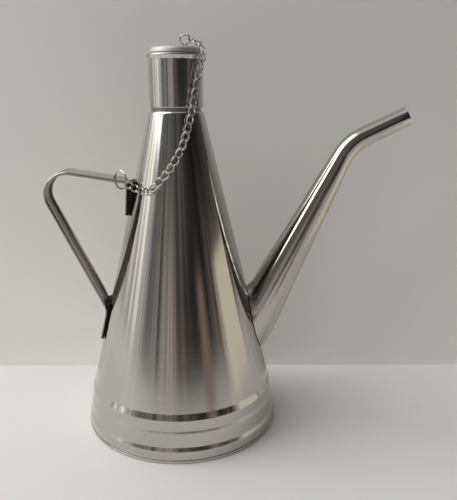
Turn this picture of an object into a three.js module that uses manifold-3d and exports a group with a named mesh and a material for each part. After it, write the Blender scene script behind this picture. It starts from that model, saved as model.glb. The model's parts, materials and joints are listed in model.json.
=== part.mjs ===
// Conical steel oil can with a strap handle, a bent spout and a push-on cap held by a chain.
// Millimetres, +Z up. The origin is on the can's axis, in the plane that the can stands on.
// The spout points along +X and the handle along -X.
import * as THREE from 'three';
import { mergeVertices } from 'three/addons/utils/BufferGeometryUtils.js';
import Module from 'manifold-3d';

const wasm = await Module();
wasm.setup();

// Sheet, wire and fits
const BODY_SHEET = 1.0;
const CAP_SHEET = 0.9;
const STRAP_SHEET = 0.9;
const SPOUT_SHEET = 0.9;
const WIRE = 0.75;
const RING_WIRE = 1.0;
const EYE_WIRE = 0.9;
const SEAM = 0.3; // air left in soldered, pressed and hooked joints

// Body: foot edge, two stepped bands and the cone
const FOOT_R = 57.5;
const FOOT_EDGE = 1.6;
const LOWER_BAND_TOP = 6.6;
const LOWER_BAND_DRAFT = 0.4;
const LEDGE_HEIGHT = 2.6;
const LEDGE_STEP = 1.0;
const MIDDLE_BAND_TOP = 23.9;
const MIDDLE_BAND_INSET = 3.2; // from the foot's edge
const CREASE_DROP = 3.6;
const CREASE_DEPTH = 0.35;
const CONE_FOOT_Z = 27.1;
const CONE_FOOT_INSET = 4.6; // from the foot's edge
const SHOULDER_Z = 182.4;
const SHOULDER_OUT = 1.71; // beyond the neck
const SHOULDER_ROUND = 2.4;

// Base pan
const PAN_FLANGE = 5.2;
const PAN_BEAD_R = 33.0;
const PAN_BEAD_WIDTH = 6.0;
const PAN_BEAD_RISE = 0.9;

// Neck and cap
const NECK_R = 13.7;
const NECK_RISE = 13.89; // above the shoulder's edge
const NECK_SKIRT = 7.0;
const NECK_FIT = 0.35;
const CAP_STANDS_OFF = 1.89; // bare neck between shoulder and cap
const CAP_SKIRT = 27.2;
const CAP_FLARE = 0.75;
const CAP_FLARE_HEIGHT = 2.0;
const LID_INSET = 0.5; // from the sleeve's inside
const LID_RISE = 4.4;
const LID_ROUND = 1.4;
const LID_EDGE_ARC = 75; // degrees

// Wire eye on the lid
const EYE_OFFSET = 5.4;
const EYE_LOOP_R = 2.6;
const EYE_LIFT = 0.55; // underside of the loop above the lid
const EYE_TURN = -25; // degrees about the vertical
const EYE_LEG = 2.4;
const EYE_HANG = 0; // degrees, where the chain pulls on the loop
const EYE_THROAT = 0.92; // the loop's outline as shares of its radius
const EYE_BELLY = 1.1;
const EYE_BELLY_DROP = 0.25;
const EYE_CROWN = 0.93;
const EYE_CURL = 0.55;
const EYE_BEND_R = 0.68; // at the foot of the legs

// Strap handle, measured on its outer face
const STRAP_WIDTH = 18;
const HEM_WIDTH = 3.2;
const TAB_HEM = 0.12; // the hems are pressed flat on the tabs
const ARM_DROP = 37.01; // end of the top arm below the shoulder
const ARM_REACH = 55.4;
const ARM_RISE = 9.8; // degrees
const GRIP_LEAN = 24.9; // degrees from the vertical
const GRIP_ROUND = 13;
const UPPER_TAB = 18.9;
const UPPER_TAB_LEAN = 7.5; // degrees from the vertical
const LOWER_TAB_END_Z = 54.2;
const TAB_ROUND = 3.2;
const LOWER_ROUND = 8;

// Jump ring in the top arm
const RING_R = 5.0;
const RING_TURN = -45; // degrees about the vertical
const RING_HOLE_INSET = 7.4; // from the arm's end
const RING_HOLE_Y = -3.9;
const RING_HOLE_R = 1.5;
const RING_HANG = -20; // degrees, where the chain pulls on the ring

// Spout: tapered run, bend and tip
const SPOUT_FOOT_Z = 60.8;
const SPOUT_RISE = 63; // degrees
const SPOUT_RUN = 117.3;
const SPOUT_TIP_RISE = 25; // degrees
const SPOUT_TIP_RUN = 35.7;
const SPOUT_BEND_R = 26;
const SPOUT_FOOT_R = 13.4;
const SPOUT_NECK_R = 6.0;
const SPOUT_TIP_R = 5.5;
const SPOUT_ROOT = 26; // length of the blank that the cone trims off
const SPOUT_HOLE_LIP = 0.8;

// Chain of twisted oval links
const LINK_COUNT = 24; // they share the way from the eye to the ring
const LINK_WIDTH = 4.2; // outside
const LINK_TWIST = 45; // degrees either way from the middle
const LINK_BLUNT = 0.75; // below 1 the ends are blunter than an ellipse's
const LINK_PLAY = 0.4; // air between hooked links along the chain
const LINK_REST = 2.1; // chain's middle line off the metal that it lies on
const END_ROLL = -45; // degrees, squares the last links to the ring and to the eye
const END_LINKS = 4; // the roll fades over these
const RIM_BEARINGS = [-24, -32, -35]; // degrees, over the lid's edge and the cap's rim
const SKIRT_LIE = [[-45, 0.65], [-54, 0.3]]; // bearing, share of the skirt's height
const CONE_LIE = [ // bearing, drop below the shoulder's edge
  [-65, 2.51],
  [-84, 18.71],
  [-108, 33.51],
  [-126, 40.71],
  [-142, 40.61],
];

// Facets
const TURN_SIDES = 48;
const WIRE_SIDES = 6;
const LINK_STEPS = 14;
const SPOUT_SIDES = 20;
const ARC_STEP = 15; // degrees
const HEM_ARC = [-60, -30, 0, 30, 60]; // degrees
const ROUTE_STEPS = 960; // along the chain
const PITCH_HALVINGS = 40;

const steel = (tint, roughness) =>
  new THREE.MeshStandardMaterial({ color: tint, roughness, metalness: 1 });
const rad = THREE.MathUtils.degToRad;

// Places that several pieces share
const MIDDLE_BAND_R = FOOT_R - MIDDLE_BAND_INSET;
const CONE_FOOT_R = FOOT_R - CONE_FOOT_INSET;
const SHOULDER_R = NECK_R + SHOULDER_OUT;
const CONE_SLOPE = (CONE_FOOT_R - SHOULDER_R) / (SHOULDER_Z - CONE_FOOT_Z);
const CONE_LEAN = Math.atan(CONE_SLOPE);
const coneRadius = (z) => CONE_FOOT_R - CONE_SLOPE * (z - CONE_FOOT_Z);
const SHOULDER_CENTRE_R = SHOULDER_R - SHOULDER_ROUND * Math.cos(CONE_LEAN);
const SHOULDER_CENTRE_Z = SHOULDER_Z - SHOULDER_ROUND * Math.sin(CONE_LEAN);
const SHOULDER_END = Math.acos(
  (NECK_R + SEAM - SHOULDER_CENTRE_R) / (SHOULDER_ROUND - BODY_SHEET)); // where it meets the neck
const SHOULDER_TOP = SHOULDER_CENTRE_Z + SHOULDER_ROUND * Math.sin(SHOULDER_END);
const NECK_TOP = SHOULDER_TOP + NECK_RISE;
const CAP_BOTTOM = SHOULDER_TOP + CAP_STANDS_OFF;
const CAP_TOP = CAP_BOTTOM + CAP_SKIRT;
const CAP_IN_R = NECK_R + NECK_FIT;
const CAP_R = CAP_IN_R + CAP_SHEET;
const CAP_RIM_R = CAP_R + CAP_FLARE;
const LID_R = CAP_IN_R - LID_INSET;
const LID_TOP = CAP_TOP + LID_RISE;

// Solids
function solid(geometry) {
  const bare = geometry.clone();
  bare.deleteAttribute('normal');
  bare.deleteAttribute('uv');
  const merged = mergeVertices(bare, 1e-4);
  const vertProperties = new Float32Array(merged.attributes.position.array);
  const triVerts = new Uint32Array(merged.index.array);
  return new wasm.Manifold(new wasm.Mesh({ numProp: 3, vertProperties, triVerts }));
}

function geometryOf(manifold) {
  const mesh = manifold.getMesh();
  const geometry = new THREE.BufferGeometry();
  geometry.setAttribute('position', new THREE.BufferAttribute(mesh.vertProperties, 3));
  geometry.setIndex(new THREE.BufferAttribute(mesh.triVerts, 1));
  geometry.computeVertexNormals();
  return geometry;
}

function piece(name, geometry, material) {
  const mesh = new THREE.Mesh(geometry, material);
  mesh.name = name;
  return mesh;
}

// Profiles are lists of [radius, height]
function turned(profile) {
  const points = profile.map(([r, z]) => new THREE.Vector2(Math.max(r, 0), z));
  const geometry = new THREE.LatheGeometry(points, TURN_SIDES);
  geometry.rotateX(Math.PI / 2);
  return geometry;
}

function arc(centreR, centreZ, radius, from, to) {
  const count = Math.max(2, Math.ceil(Math.abs(to - from) / ARC_STEP));
  const points = [];
  for (let i = 0; i <= count; i += 1) {
    const angle = rad(from + ((to - from) * i) / count);
    points.push([centreR + radius * Math.cos(angle), centreZ + radius * Math.sin(angle)]);
  }
  return points;
}

// Moves an open profile sideways by a distance, to the left of its direction
function offset(profile, distance) {
  return profile.map(([r, z], i) => {
    const before = profile[Math.max(i - 1, 0)];
    const after = profile[Math.min(i + 1, profile.length - 1)];
    const sides = [[before, [r, z]], [[r, z], after]]
      .map(([a, b]) => new THREE.Vector2(b[0] - a[0], b[1] - a[1]))
      .filter((side) => side.length() > 0)
      .map((side) => new THREE.Vector2(-side.y, side.x).normalize());
    const normal = sides[0].clone().add(sides[sides.length - 1]).normalize();
    const reach = distance / normal.dot(sides[0]);
    return [r + normal.x * reach, z + normal.y * reach];
  });
}

function shell(profile, wall) {
  return turned([...profile, ...offset(profile, wall).reverse(), profile[0]]);
}

// Joins equal rings of points into a closed skin with flat ends
function loft(rings, section) {
  const count = section.length;
  const index = [];
  for (let i = 0; i + 1 < rings.length; i += 1) {
    for (let j = 0; j < count; j += 1) {
      const k = (j + 1) % count;
      const low = i * count;
      const high = low + count;
      index.push(low + j, low + k, high + k, low + j, high + k, high + j);
    }
  }
  const last = (rings.length - 1) * count;
  for (const [a, b, c] of THREE.ShapeUtils.triangulateShape(section, [])) {
    index.push(a, c, b, last + a, last + b, last + c);
  }
  const geometry = new THREE.BufferGeometry().setFromPoints(rings.flat());
  geometry.setIndex(index);
  return geometry;
}

// A route of straight runs whose corners are rounded: its points, headings and lengths so far
function roundedRoute(corners, radii) {
  const points = [corners[0]];
  for (let i = 1; i + 1 < corners.length; i += 1) {
    const back = corners[i - 1].clone().sub(corners[i]).normalize();
    const on = corners[i + 1].clone().sub(corners[i]).normalize();
    const turn = Math.PI - back.angleTo(on);
    const reach = radii[i - 1] * Math.tan(turn / 2);
    const start = corners[i].clone().addScaledVector(back, reach);
    const middle = back.clone().add(on).normalize();
    const centre = corners[i].clone().addScaledVector(middle, radii[i - 1] / Math.cos(turn / 2));
    const axis = back.clone().negate().cross(on).normalize();
    const count = Math.max(3, Math.ceil(turn / rad(ARC_STEP)));
    for (let k = 0; k <= count; k += 1) {
      const spoke = start.clone().sub(centre).applyAxisAngle(axis, (turn * k) / count);
      points.push(centre.clone().add(spoke));
    }
  }
  points.push(corners[corners.length - 1]);
  let length = 0;
  return points.map((point, i) => {
    const before = points[Math.max(i - 1, 0)];
    const after = points[Math.min(i + 1, points.length - 1)];
    const into = point.clone().sub(before).normalize();
    const out = after.clone().sub(point).normalize();
    length += point.distanceTo(before);
    return { point, heading: into.add(out).normalize(), length };
  });
}

// Sweeps a section along a route: section(station) gives the points, across is the section's x axis
function sweep(route, section, across) {
  const rings = route.map((station) => {
    const normal = station.heading.clone().cross(across).normalize();
    return section(station).map((p) =>
      station.point.clone().addScaledVector(across, p.x).addScaledVector(normal, p.y));
  });
  return loft(rings, section(route[0]));
}

const circle = (radius, sides) =>
  Array.from({ length: sides }, (_, i) => {
    const angle = (2 * Math.PI * i) / sides;
    return new THREE.Vector2(radius * Math.cos(angle), radius * Math.sin(angle));
  });

// Body
function bodyOutline() {
  const foot = [FOOT_R - SEAM, FOOT_EDGE + SEAM];
  const lowerTop = [FOOT_R - LOWER_BAND_DRAFT, LOWER_BAND_TOP];
  const middleFoot = [FOOT_R - LOWER_BAND_DRAFT - LEDGE_STEP, LOWER_BAND_TOP + LEDGE_HEIGHT];
  const creaseZ = MIDDLE_BAND_TOP - CREASE_DROP;
  const along = (creaseZ - middleFoot[1]) / (MIDDLE_BAND_TOP - middleFoot[1]);
  const creaseR = THREE.MathUtils.lerp(middleFoot[0], MIDDLE_BAND_R, along);
  return [
    foot,
    lowerTop,
    middleFoot,
    [creaseR, creaseZ - CREASE_DEPTH],
    [creaseR - CREASE_DEPTH, creaseZ + CREASE_DEPTH],
    [MIDDLE_BAND_R, MIDDLE_BAND_TOP],
    [CONE_FOOT_R, CONE_FOOT_Z],
    ...arc(SHOULDER_CENTRE_R, SHOULDER_CENTRE_Z, SHOULDER_ROUND,
      THREE.MathUtils.radToDeg(CONE_LEAN), THREE.MathUtils.radToDeg(SHOULDER_END)),
  ];
}

function bodyShell() {
  const blank = solid(shell(bodyOutline(), BODY_SHEET));
  const hole = solid(spoutTube(-SPOUT_SHEET - SPOUT_HOLE_LIP));
  return geometryOf(blank.subtract(hole));
}

function basePan() {
  const flangeR = FOOT_R - SEAM - BODY_SHEET - SEAM;
  const beadIn = PAN_BEAD_R - PAN_BEAD_WIDTH / 2;
  const beadOut = PAN_BEAD_R + PAN_BEAD_WIDTH / 2;
  return turned([
    [0, 0],
    [beadIn, 0],
    [PAN_BEAD_R, PAN_BEAD_RISE],
    [beadOut, 0],
    [FOOT_R, 0],
    [FOOT_R, FOOT_EDGE],
    [flangeR, FOOT_EDGE],
    [flangeR, PAN_FLANGE],
    [flangeR - BODY_SHEET, PAN_FLANGE],
    [flangeR - BODY_SHEET, BODY_SHEET],
    [beadOut, BODY_SHEET],
    [PAN_BEAD_R, PAN_BEAD_RISE + BODY_SHEET],
    [beadIn, BODY_SHEET],
    [0, BODY_SHEET],
  ]);
}

function neckCollar() {
  const insideBody = (z) => coneRadius(z) - BODY_SHEET / Math.cos(CONE_LEAN) - SEAM;
  const skirtFoot = SHOULDER_Z - NECK_SKIRT;
  const skirtTop = SHOULDER_Z - SHOULDER_ROUND;
  return shell([
    [insideBody(skirtFoot), skirtFoot],
    [Math.max(insideBody(skirtTop), NECK_R), skirtTop],
    [NECK_R, SHOULDER_Z - BODY_SHEET],
    [NECK_R, NECK_TOP - CAP_SHEET / 2],
    [NECK_R - CAP_SHEET / 3, NECK_TOP],
  ], CAP_SHEET);
}

// Cap
function capSleeve() {
  const flareFoot = CAP_TOP - CAP_FLARE_HEIGHT;
  const lip = CAP_SHEET / 2;
  return turned([
    [CAP_IN_R, CAP_BOTTOM],
    [CAP_R - lip / 2, CAP_BOTTOM],
    [CAP_R, CAP_BOTTOM + lip],
    [CAP_R, flareFoot],
    [CAP_RIM_R - lip / 2, CAP_TOP - CAP_SHEET],
    [CAP_RIM_R, CAP_TOP - lip],
    [CAP_RIM_R - lip, CAP_TOP],
    [CAP_IN_R + lip, CAP_TOP],
    [CAP_IN_R, CAP_TOP - CAP_SHEET],
    [CAP_IN_R, CAP_BOTTOM],
  ]);
}

function capLid() {
  const plugR = CAP_IN_R - SEAM;
  const seat = CAP_TOP + SEAM;
  const edgeZ = LID_TOP - LID_ROUND - CAP_SHEET / 2;
  const top = [
    [plugR, NECK_TOP + SEAM],
    [plugR, CAP_TOP - CAP_SHEET],
    [plugR - SEAM, seat],
    [LID_R, seat + SEAM],
    ...arc(LID_R - LID_ROUND, edgeZ, LID_ROUND, 0, LID_EDGE_ARC),
    [0, LID_TOP],
  ];
  const inside = [
    [0, LID_TOP - CAP_SHEET],
    [LID_R - LID_ROUND, edgeZ + LID_ROUND - CAP_SHEET],
    [plugR - CAP_SHEET, seat - SEAM],
    [plugR - CAP_SHEET, NECK_TOP + SEAM],
  ];
  const hole = new THREE.CylinderGeometry(eyeHoleR, eyeHoleR, LID_RISE, WIRE_SIDES * 2);
  hole.rotateX(Math.PI / 2);
  hole.translate(EYE_OFFSET, 0, LID_TOP);
  return geometryOf(solid(turned([...top, ...inside, top[0]])).subtract(solid(hole)));
}

// Wire eye: a loop whose two legs pass the lid together and part below it
const eyeLegX = (EYE_WIRE + SEAM) / 2;
const eyeHoleR = eyeLegX + EYE_WIRE / 2 + SEAM;
const eyeTurn = new THREE.Vector3(Math.cos(rad(EYE_TURN)), Math.sin(rad(EYE_TURN)), 0);
const lidAtEye = LID_TOP - (CAP_SHEET / 2) * (EYE_OFFSET / LID_R);
const eyeCentre = new THREE.Vector3(EYE_OFFSET, 0, lidAtEye + EYE_LIFT + EYE_LOOP_R);

function capEye() {
  const place = (x, z) => eyeCentre.clone().addScaledVector(eyeTurn, x).setZ(z);
  const below = lidAtEye - CAP_SHEET - EYE_WIRE / 2 - SEAM;
  const half = [
    place(eyeLegX + EYE_LEG, below),
    place(eyeLegX, below),
    place(eyeLegX, eyeCentre.z - EYE_LOOP_R * EYE_THROAT),
    place(EYE_LOOP_R * EYE_BELLY, eyeCentre.z - EYE_LOOP_R * EYE_BELLY_DROP),
    place(EYE_LOOP_R * EYE_CROWN, eyeCentre.z + EYE_LOOP_R),
  ];
  const mirror = ({ x, y, z }) => {
    const out = new THREE.Vector3(x, y, 0).sub(eyeCentre.clone().setZ(0)).dot(eyeTurn);
    return place(-out, z);
  };
  const corners = [...half, ...half.map(mirror).reverse()];
  const curl = EYE_LOOP_R * EYE_CURL;
  const radii = [EYE_BEND_R, EYE_BEND_R, curl, curl];
  const across = new THREE.Vector3(-eyeTurn.y, eyeTurn.x, 0);
  const route = roundedRoute(corners, [...radii, ...radii.slice().reverse()]);
  const section = circle(EYE_WIRE / 2, WIRE_SIDES);
  return sweep(route, () => section, across);
}

// Handle: corners of the strap's outer face, from the upper tab round to the lower one
function strapCorners() {
  const tabStandsOff = (STRAP_SHEET + TAB_HEM + SEAM) / Math.cos(CONE_LEAN);
  const armEndZ = SHOULDER_TOP - ARM_DROP;
  const tabFootZ = armEndZ - UPPER_TAB;
  const tabFootX = coneRadius(tabFootZ) + tabStandsOff;
  const armEndX = tabFootX - UPPER_TAB * Math.tan(rad(UPPER_TAB_LEAN));
  const gripTopX = armEndX + ARM_REACH;
  const gripTopZ = armEndZ + ARM_REACH * Math.tan(rad(ARM_RISE));
  const lean = Math.tan(rad(GRIP_LEAN));
  const lowX = coneRadius(LOWER_TAB_END_Z) + tabStandsOff;
  const meetZ = (gripTopX - lowX - lean * gripTopZ - CONE_SLOPE * LOWER_TAB_END_Z) / -(lean + CONE_SLOPE);
  const meetX = lowX - CONE_SLOPE * (meetZ - LOWER_TAB_END_Z);
  return [
    [tabFootX, tabFootZ],
    [armEndX, armEndZ],
    [gripTopX, gripTopZ],
    [meetX, meetZ],
    [lowX, LOWER_TAB_END_Z],
  ].map(([x, z]) => new THREE.Vector3(-x, 0, z));
}

const strapPath = strapCorners();
const armEnd = strapPath[1];
const ringHole = new THREE.Vector3(
  armEnd.x - RING_HOLE_INSET, RING_HOLE_Y, armEnd.z + RING_HOLE_INSET * Math.tan(rad(ARM_RISE)));

// Channel section with folded edges, hem is how far the folds stand in from the sheet
function strapSection(hem) {
  const half = STRAP_WIDTH / 2;
  const round = (STRAP_SHEET + hem) / 2;
  const edge = half - round;
  const fold = half - HEM_WIDTH;
  const nose = HEM_ARC.map((angle) => new THREE.Vector2(
    edge + round * Math.cos(rad(angle)), round + round * Math.sin(rad(angle))));
  const right = [
    new THREE.Vector2(edge, 0),
    ...nose,
    new THREE.Vector2(edge, 2 * round),
    new THREE.Vector2(fold, 2 * round),
    new THREE.Vector2(fold, STRAP_SHEET),
  ];
  return [...right, ...right.map((p) => new THREE.Vector2(-p.x, p.y)).reverse()];
}

function handleStrap() {
  const route = roundedRoute(strapPath, [TAB_ROUND, GRIP_ROUND, LOWER_ROUND]);
  const armStart = UPPER_TAB;
  const gripEnd = route[route.length - 1].length - strapPath[3].distanceTo(strapPath[4]);
  const section = ({ length }) => {
    const onArm = THREE.MathUtils.smoothstep(length, armStart - TAB_ROUND, armStart + TAB_ROUND);
    const onGrip = 1 - THREE.MathUtils.smoothstep(length, gripEnd - LOWER_ROUND, gripEnd);
    return strapSection(TAB_HEM + (STRAP_SHEET - TAB_HEM) * onArm * onGrip);
  };
  const strap = solid(sweep(route, section, new THREE.Vector3(0, 1, 0)));
  const hole = new THREE.CylinderGeometry(RING_HOLE_R, RING_HOLE_R, STRAP_WIDTH / 2, WIRE_SIDES * 2);
  hole.rotateX(Math.PI / 2);
  hole.translate(ringHole.x, ringHole.y, ringHole.z);
  return geometryOf(strap.subtract(solid(hole)));
}

// Jump ring: it passes the hole and hangs over the arm's near edge
const ringTurn = new THREE.Vector3(Math.cos(rad(RING_TURN)), Math.sin(rad(RING_TURN)), 0);
const ringCentre = ringHole.clone().addScaledVector(ringTurn, RING_R);
ringCentre.z -= STRAP_SHEET / 2;

function handleRing() {
  const ring = new THREE.TorusGeometry(RING_R, RING_WIRE / 2, WIRE_SIDES + 2, TURN_SIDES / 2);
  const mesh = piece('handle_ring', ring, steel(0xd4d4d0, 0.22));
  mesh.rotation.set(Math.PI / 2, 0, rad(RING_TURN), 'ZXY');
  mesh.position.copy(ringCentre);
  return mesh;
}

// Spout: a taper up to the bend, then a plain tip; grow moves its surface outwards
function spoutTube(grow) {
  const at = (x, z, rise, run) => new THREE.Vector3(
    x + run * Math.cos(rad(rise)), 0, z + run * Math.sin(rad(rise)));
  const footX = coneRadius(SPOUT_FOOT_Z);
  const root = at(footX, SPOUT_FOOT_Z, SPOUT_RISE, -SPOUT_ROOT);
  const bend = at(footX, SPOUT_FOOT_Z, SPOUT_RISE, SPOUT_RUN);
  const tip = at(bend.x, bend.z, SPOUT_TIP_RISE, SPOUT_TIP_RUN + (grow < 0 ? SPOUT_SHEET : 0));
  const route = roundedRoute([root, bend, tip], [SPOUT_BEND_R]);
  const runEnd = route[1].length;
  const full = route[route.length - 1].length;
  const taper = (SPOUT_FOOT_R - SPOUT_NECK_R) / (runEnd - SPOUT_ROOT);
  const section = ({ length }) => {
    const onTip = Math.max(0, (length - runEnd) / (full - runEnd));
    const onRun = SPOUT_NECK_R + taper * Math.max(0, runEnd - length);
    return circle(onRun + (SPOUT_TIP_R - SPOUT_NECK_R) * onTip + grow, SPOUT_SIDES);
  };
  return sweep(route, section, new THREE.Vector3(0, 1, 0));
}

function spout() {
  const outline = offset(bodyOutline(), -SEAM);
  const body = turned([[0, outline[0][1]], ...outline, [0, outline[outline.length - 1][1]]]);
  const tube = solid(spoutTube(0)).subtract(solid(spoutTube(-SPOUT_SHEET)));
  return geometryOf(tube.subtract(solid(body)));
}

// Chain: an oval of wire, twisted so that neighbours cross at a right angle
class LinkCurve extends THREE.Curve {
  constructor(length) {
    super();
    this.halfLength = (length - WIRE) / 2;
    this.halfWidth = (LINK_WIDTH - WIRE) / 2;
  }

  getPoint(t) {
    const turn = 2 * Math.PI * t;
    const blunt = Math.abs(Math.sin(turn)) ** LINK_BLUNT;
    const along = this.halfLength * Math.cos(turn);
    const out = this.halfWidth * Math.sign(Math.sin(turn)) * blunt;
    const twist = rad(LINK_TWIST) * Math.cos(turn);
    return new THREE.Vector3(along, out * Math.cos(twist), out * Math.sin(twist));
  }
}

const wallRadius = (z) => (z > SHOULDER_TOP ? CAP_R : coneRadius(Math.min(z, SHOULDER_Z)));
const polar = (turn, r, z) => new THREE.Vector3(r * Math.cos(rad(turn)), r * Math.sin(rad(turn)), z);
const onWall = (turn, z) => polar(turn, wallRadius(z) + LINK_REST, z);

// Pivot of a link that is hooked in an upright wire loop
function hung(centre, turn, angle, radius, wire) {
  const reach = radius - (wire + WIRE + 2 * SEAM) / 4;
  const pivot = centre.clone().addScaledVector(turn, reach * Math.cos(rad(angle)));
  pivot.z += reach * Math.sin(rad(angle));
  return pivot;
}

// Route from the eye over the cap's rim, down the skirt and round the cone to the jump ring
function chainRoute() {
  const fromEye = hung(eyeCentre, eyeTurn, EYE_HANG, EYE_LOOP_R, EYE_WIRE);
  const toRing = hung(ringCentre, ringTurn, RING_HANG, RING_R, RING_WIRE);
  return new THREE.CatmullRomCurve3([
    fromEye,
    polar(RIM_BEARINGS[0], LID_R - LID_ROUND, LID_TOP + LINK_REST),
    polar(RIM_BEARINGS[1], CAP_RIM_R + LINK_REST / 2, LID_TOP - LINK_REST / 2),
    polar(RIM_BEARINGS[2], CAP_RIM_R + LINK_REST, CAP_TOP - LID_ROUND),
    ...SKIRT_LIE.map(([turn, share]) => onWall(turn, CAP_BOTTOM + CAP_SKIRT * share)),
    ...CONE_LIE.map(([turn, drop]) => onWall(turn, SHOULDER_TOP - drop)),
    toRing,
  ], false, 'centripetal');
}

// Steps off pivots a pitch apart along a fine line of points, until the line or the links run out
function stepOff(line, pitch) {
  const pivots = [line[0]];
  for (let i = 1; i < line.length && pivots.length <= LINK_COUNT; i += 1) {
    const from = pivots[pivots.length - 1];
    const far = line[i].distanceTo(from);
    if (far >= pitch) {
      const near = line[i - 1].distanceTo(from);
      pivots.push(line[i - 1].clone().lerp(line[i], (pitch - near) / (far - near)));
    }
  }
  return pivots;
}

// The longest pitch at which all links still fit on the route
function chainPivots() {
  const route = chainRoute();
  const line = route.getSpacedPoints(ROUTE_STEPS);
  let low = 0;
  let high = (2 * route.getLength()) / LINK_COUNT;
  for (let i = 0; i < PITCH_HALVINGS; i += 1) {
    const middle = (low + high) / 2;
    if (stepOff(line, middle).length > LINK_COUNT) low = middle;
    else high = middle;
  }
  return stepOff(line, low);
}

function chain() {
  const group = new THREE.Group();
  const pivots = chainPivots();
  const length = pivots[0].distanceTo(pivots[1]) + 2 * WIRE + LINK_PLAY;
  const oval = new THREE.TubeGeometry(new LinkCurve(length), LINK_STEPS, WIRE / 2, WIRE_SIDES, true);
  for (let i = 1; i <= LINK_COUNT; i += 1) {
    const from = pivots[LINK_COUNT - i + 1];
    const to = pivots[LINK_COUNT - i];
    const middle = from.clone().add(to).multiplyScalar(0.5);
    const core = new THREE.Vector3(0, 0, Math.min(middle.z, CAP_TOP - CAP_R / 2));
    const along = to.clone().sub(from).normalize();
    const side = middle.clone().sub(core).cross(along).normalize();
    const out = along.clone().cross(side);
    const link = piece(`chain_link_${String(i).padStart(2, '0')}`, oval, steel(0xd8d8d4, 0.2));
    link.quaternion.setFromRotationMatrix(new THREE.Matrix4().makeBasis(along, side, out));
    const fromEnd = Math.min(i - 1, LINK_COUNT - i);
    link.rotateX(rad(END_ROLL) * Math.max(0, 1 - fromEnd / END_LINKS));
    link.position.copy(middle);
    group.add(link);
  }
  return group;
}

const can = new THREE.Group();
can.add(
  piece('body_shell', bodyShell(), steel(0xc9c5be, 0.24)),
  piece('base_pan', basePan(), steel(0xb9b5ad, 0.34)),
  piece('neck_collar', neckCollar(), steel(0xbdbab4, 0.3)),
  piece('spout_tube', spout(), steel(0xc6c2bb, 0.18)),
  piece('handle_strap', handleStrap(), steel(0xb7b3ac, 0.3)),
  handleRing(),
);

const cap = new THREE.Group();
cap.add(
  piece('cap_sleeve', capSleeve(), steel(0xc2c0bb, 0.32)),
  piece('cap_lid', capLid(), steel(0xc4c1bb, 0.34)),
  piece('cap_eye', capEye(), steel(0xd4d4d0, 0.22)),
);
can.add(cap, chain());

export default can;
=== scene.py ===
"""Looks of a conical steel oil can with a strap handle, a bent spout and a cap on a chain."""
import json
import math

import bmesh
import bpy
import numpy as np
from bpy.props import FloatProperty, FloatVectorProperty, PointerProperty
from mathutils import Matrix, Vector


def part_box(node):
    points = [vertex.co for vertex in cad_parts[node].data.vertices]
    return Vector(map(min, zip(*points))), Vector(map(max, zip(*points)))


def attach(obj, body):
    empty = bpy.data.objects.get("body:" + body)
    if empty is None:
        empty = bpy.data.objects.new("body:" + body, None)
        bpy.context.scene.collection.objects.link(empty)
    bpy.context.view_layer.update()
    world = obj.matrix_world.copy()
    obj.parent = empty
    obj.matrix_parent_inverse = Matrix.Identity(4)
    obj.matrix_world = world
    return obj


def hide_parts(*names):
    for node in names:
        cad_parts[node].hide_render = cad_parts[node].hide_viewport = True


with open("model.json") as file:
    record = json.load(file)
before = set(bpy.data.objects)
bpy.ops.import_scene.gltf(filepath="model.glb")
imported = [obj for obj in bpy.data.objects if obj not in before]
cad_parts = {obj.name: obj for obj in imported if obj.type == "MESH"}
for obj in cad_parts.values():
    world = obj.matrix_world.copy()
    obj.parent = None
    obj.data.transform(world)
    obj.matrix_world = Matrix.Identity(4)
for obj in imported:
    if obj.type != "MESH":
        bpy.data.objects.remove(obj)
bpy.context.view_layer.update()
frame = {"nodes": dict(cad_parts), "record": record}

bl_info = {
    "name": "Oil can",
    "version": (1, 0, 0),
    "blender": (4, 5, 0),
    "location": "View3D > Sidebar > Oil can",
    "description": "Builds the pieces, finishes and stage of a steel oil can",
    "category": "Add Mesh",
}

MM = 0.001

# The photograph in pixels: its size, its focal length and the point that its lens looks at
PHOTO_SIZE = (457, 500)
PHOTO_FOCAL = 571.3
PHOTO_CENTRE = (222.87, 263.70)

# The camera: width of its sensor in mm, and how near and how far it sees in metres
SENSOR = 36.0
CLIP = (0.01, 50.0)

# Fineness of the meshes, and the distances within which points count as one or as on a line
SPIN_STEPS = 160
WIRE_SIDES = 12
HOLE_SIDES = 32
SPOUT_SIDES = 64
RING_STEPS = 72
LINK_STEPS = 48
SOLDER_COLUMNS = 4
STRAP_STEP = 3 * MM
SPOUT_STEP = 6 * MM
ARC_STEP = math.radians(7.5)
SHARP = math.radians(38)
MERGE = 1e-6
NEAR = 2e-5

# How far from the ends of long runs extra points keep the shading flat
BODY_HOLD = 0.9 * MM
PAN_HOLD = 1.0 * MM
TUBE_HOLD = 0.8 * MM
LID_HOLD = 0.6 * MM

# Shape of the eye's loop, in shares of its radius
EYE_THROAT = 0.92
EYE_BELLY = (1.1, 0.25)
EYE_TOP = 0.93
EYE_CURL = 0.55

# Shape of the lid: turn of its rounded edge and of its flange, and where on the way out the dome has points
LID_TURN = math.radians(66)
FLANGE_TURN = (math.radians(-80), math.radians(55))
DOME_STEPS = (0.85, 0.65, 0.4, 0.2, 0.0)

# The strap: turn of its folded edge, points of its section on the fold's inner edge, and its finishes
NOSE_TURN = math.radians(80)
HEM_POINTS = 3
# The strap's second finish is near-black painted shadow for the shaded gaps between the tabs and the cone
STRAP_FINISHES = ("brushed_handle", "painted_shadow_fill", "dull_inside_painted_shade")
SHADOW_FILL = STRAP_FINISHES.index("painted_shadow_fill")
# The strap's inner face and the hems' inner walls are rougher, and painted darker as shade
SHADED_INSIDE = STRAP_FINISHES.index("dull_inside_painted_shade")

# Steps in which a line closes in on the cone
CLOSING_STEPS = 16

# The spout's root: its rings in mm from the cone, and where plain taper follows, in foot radii
ROOT_RINGS = (0.0, 0.4, 0.9, 1.6, 2.5, 3.6, 5.0, 7.0, 10.0, 13.0, 16.0, 19.5)
ROOT_REACH = 3.0

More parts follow.
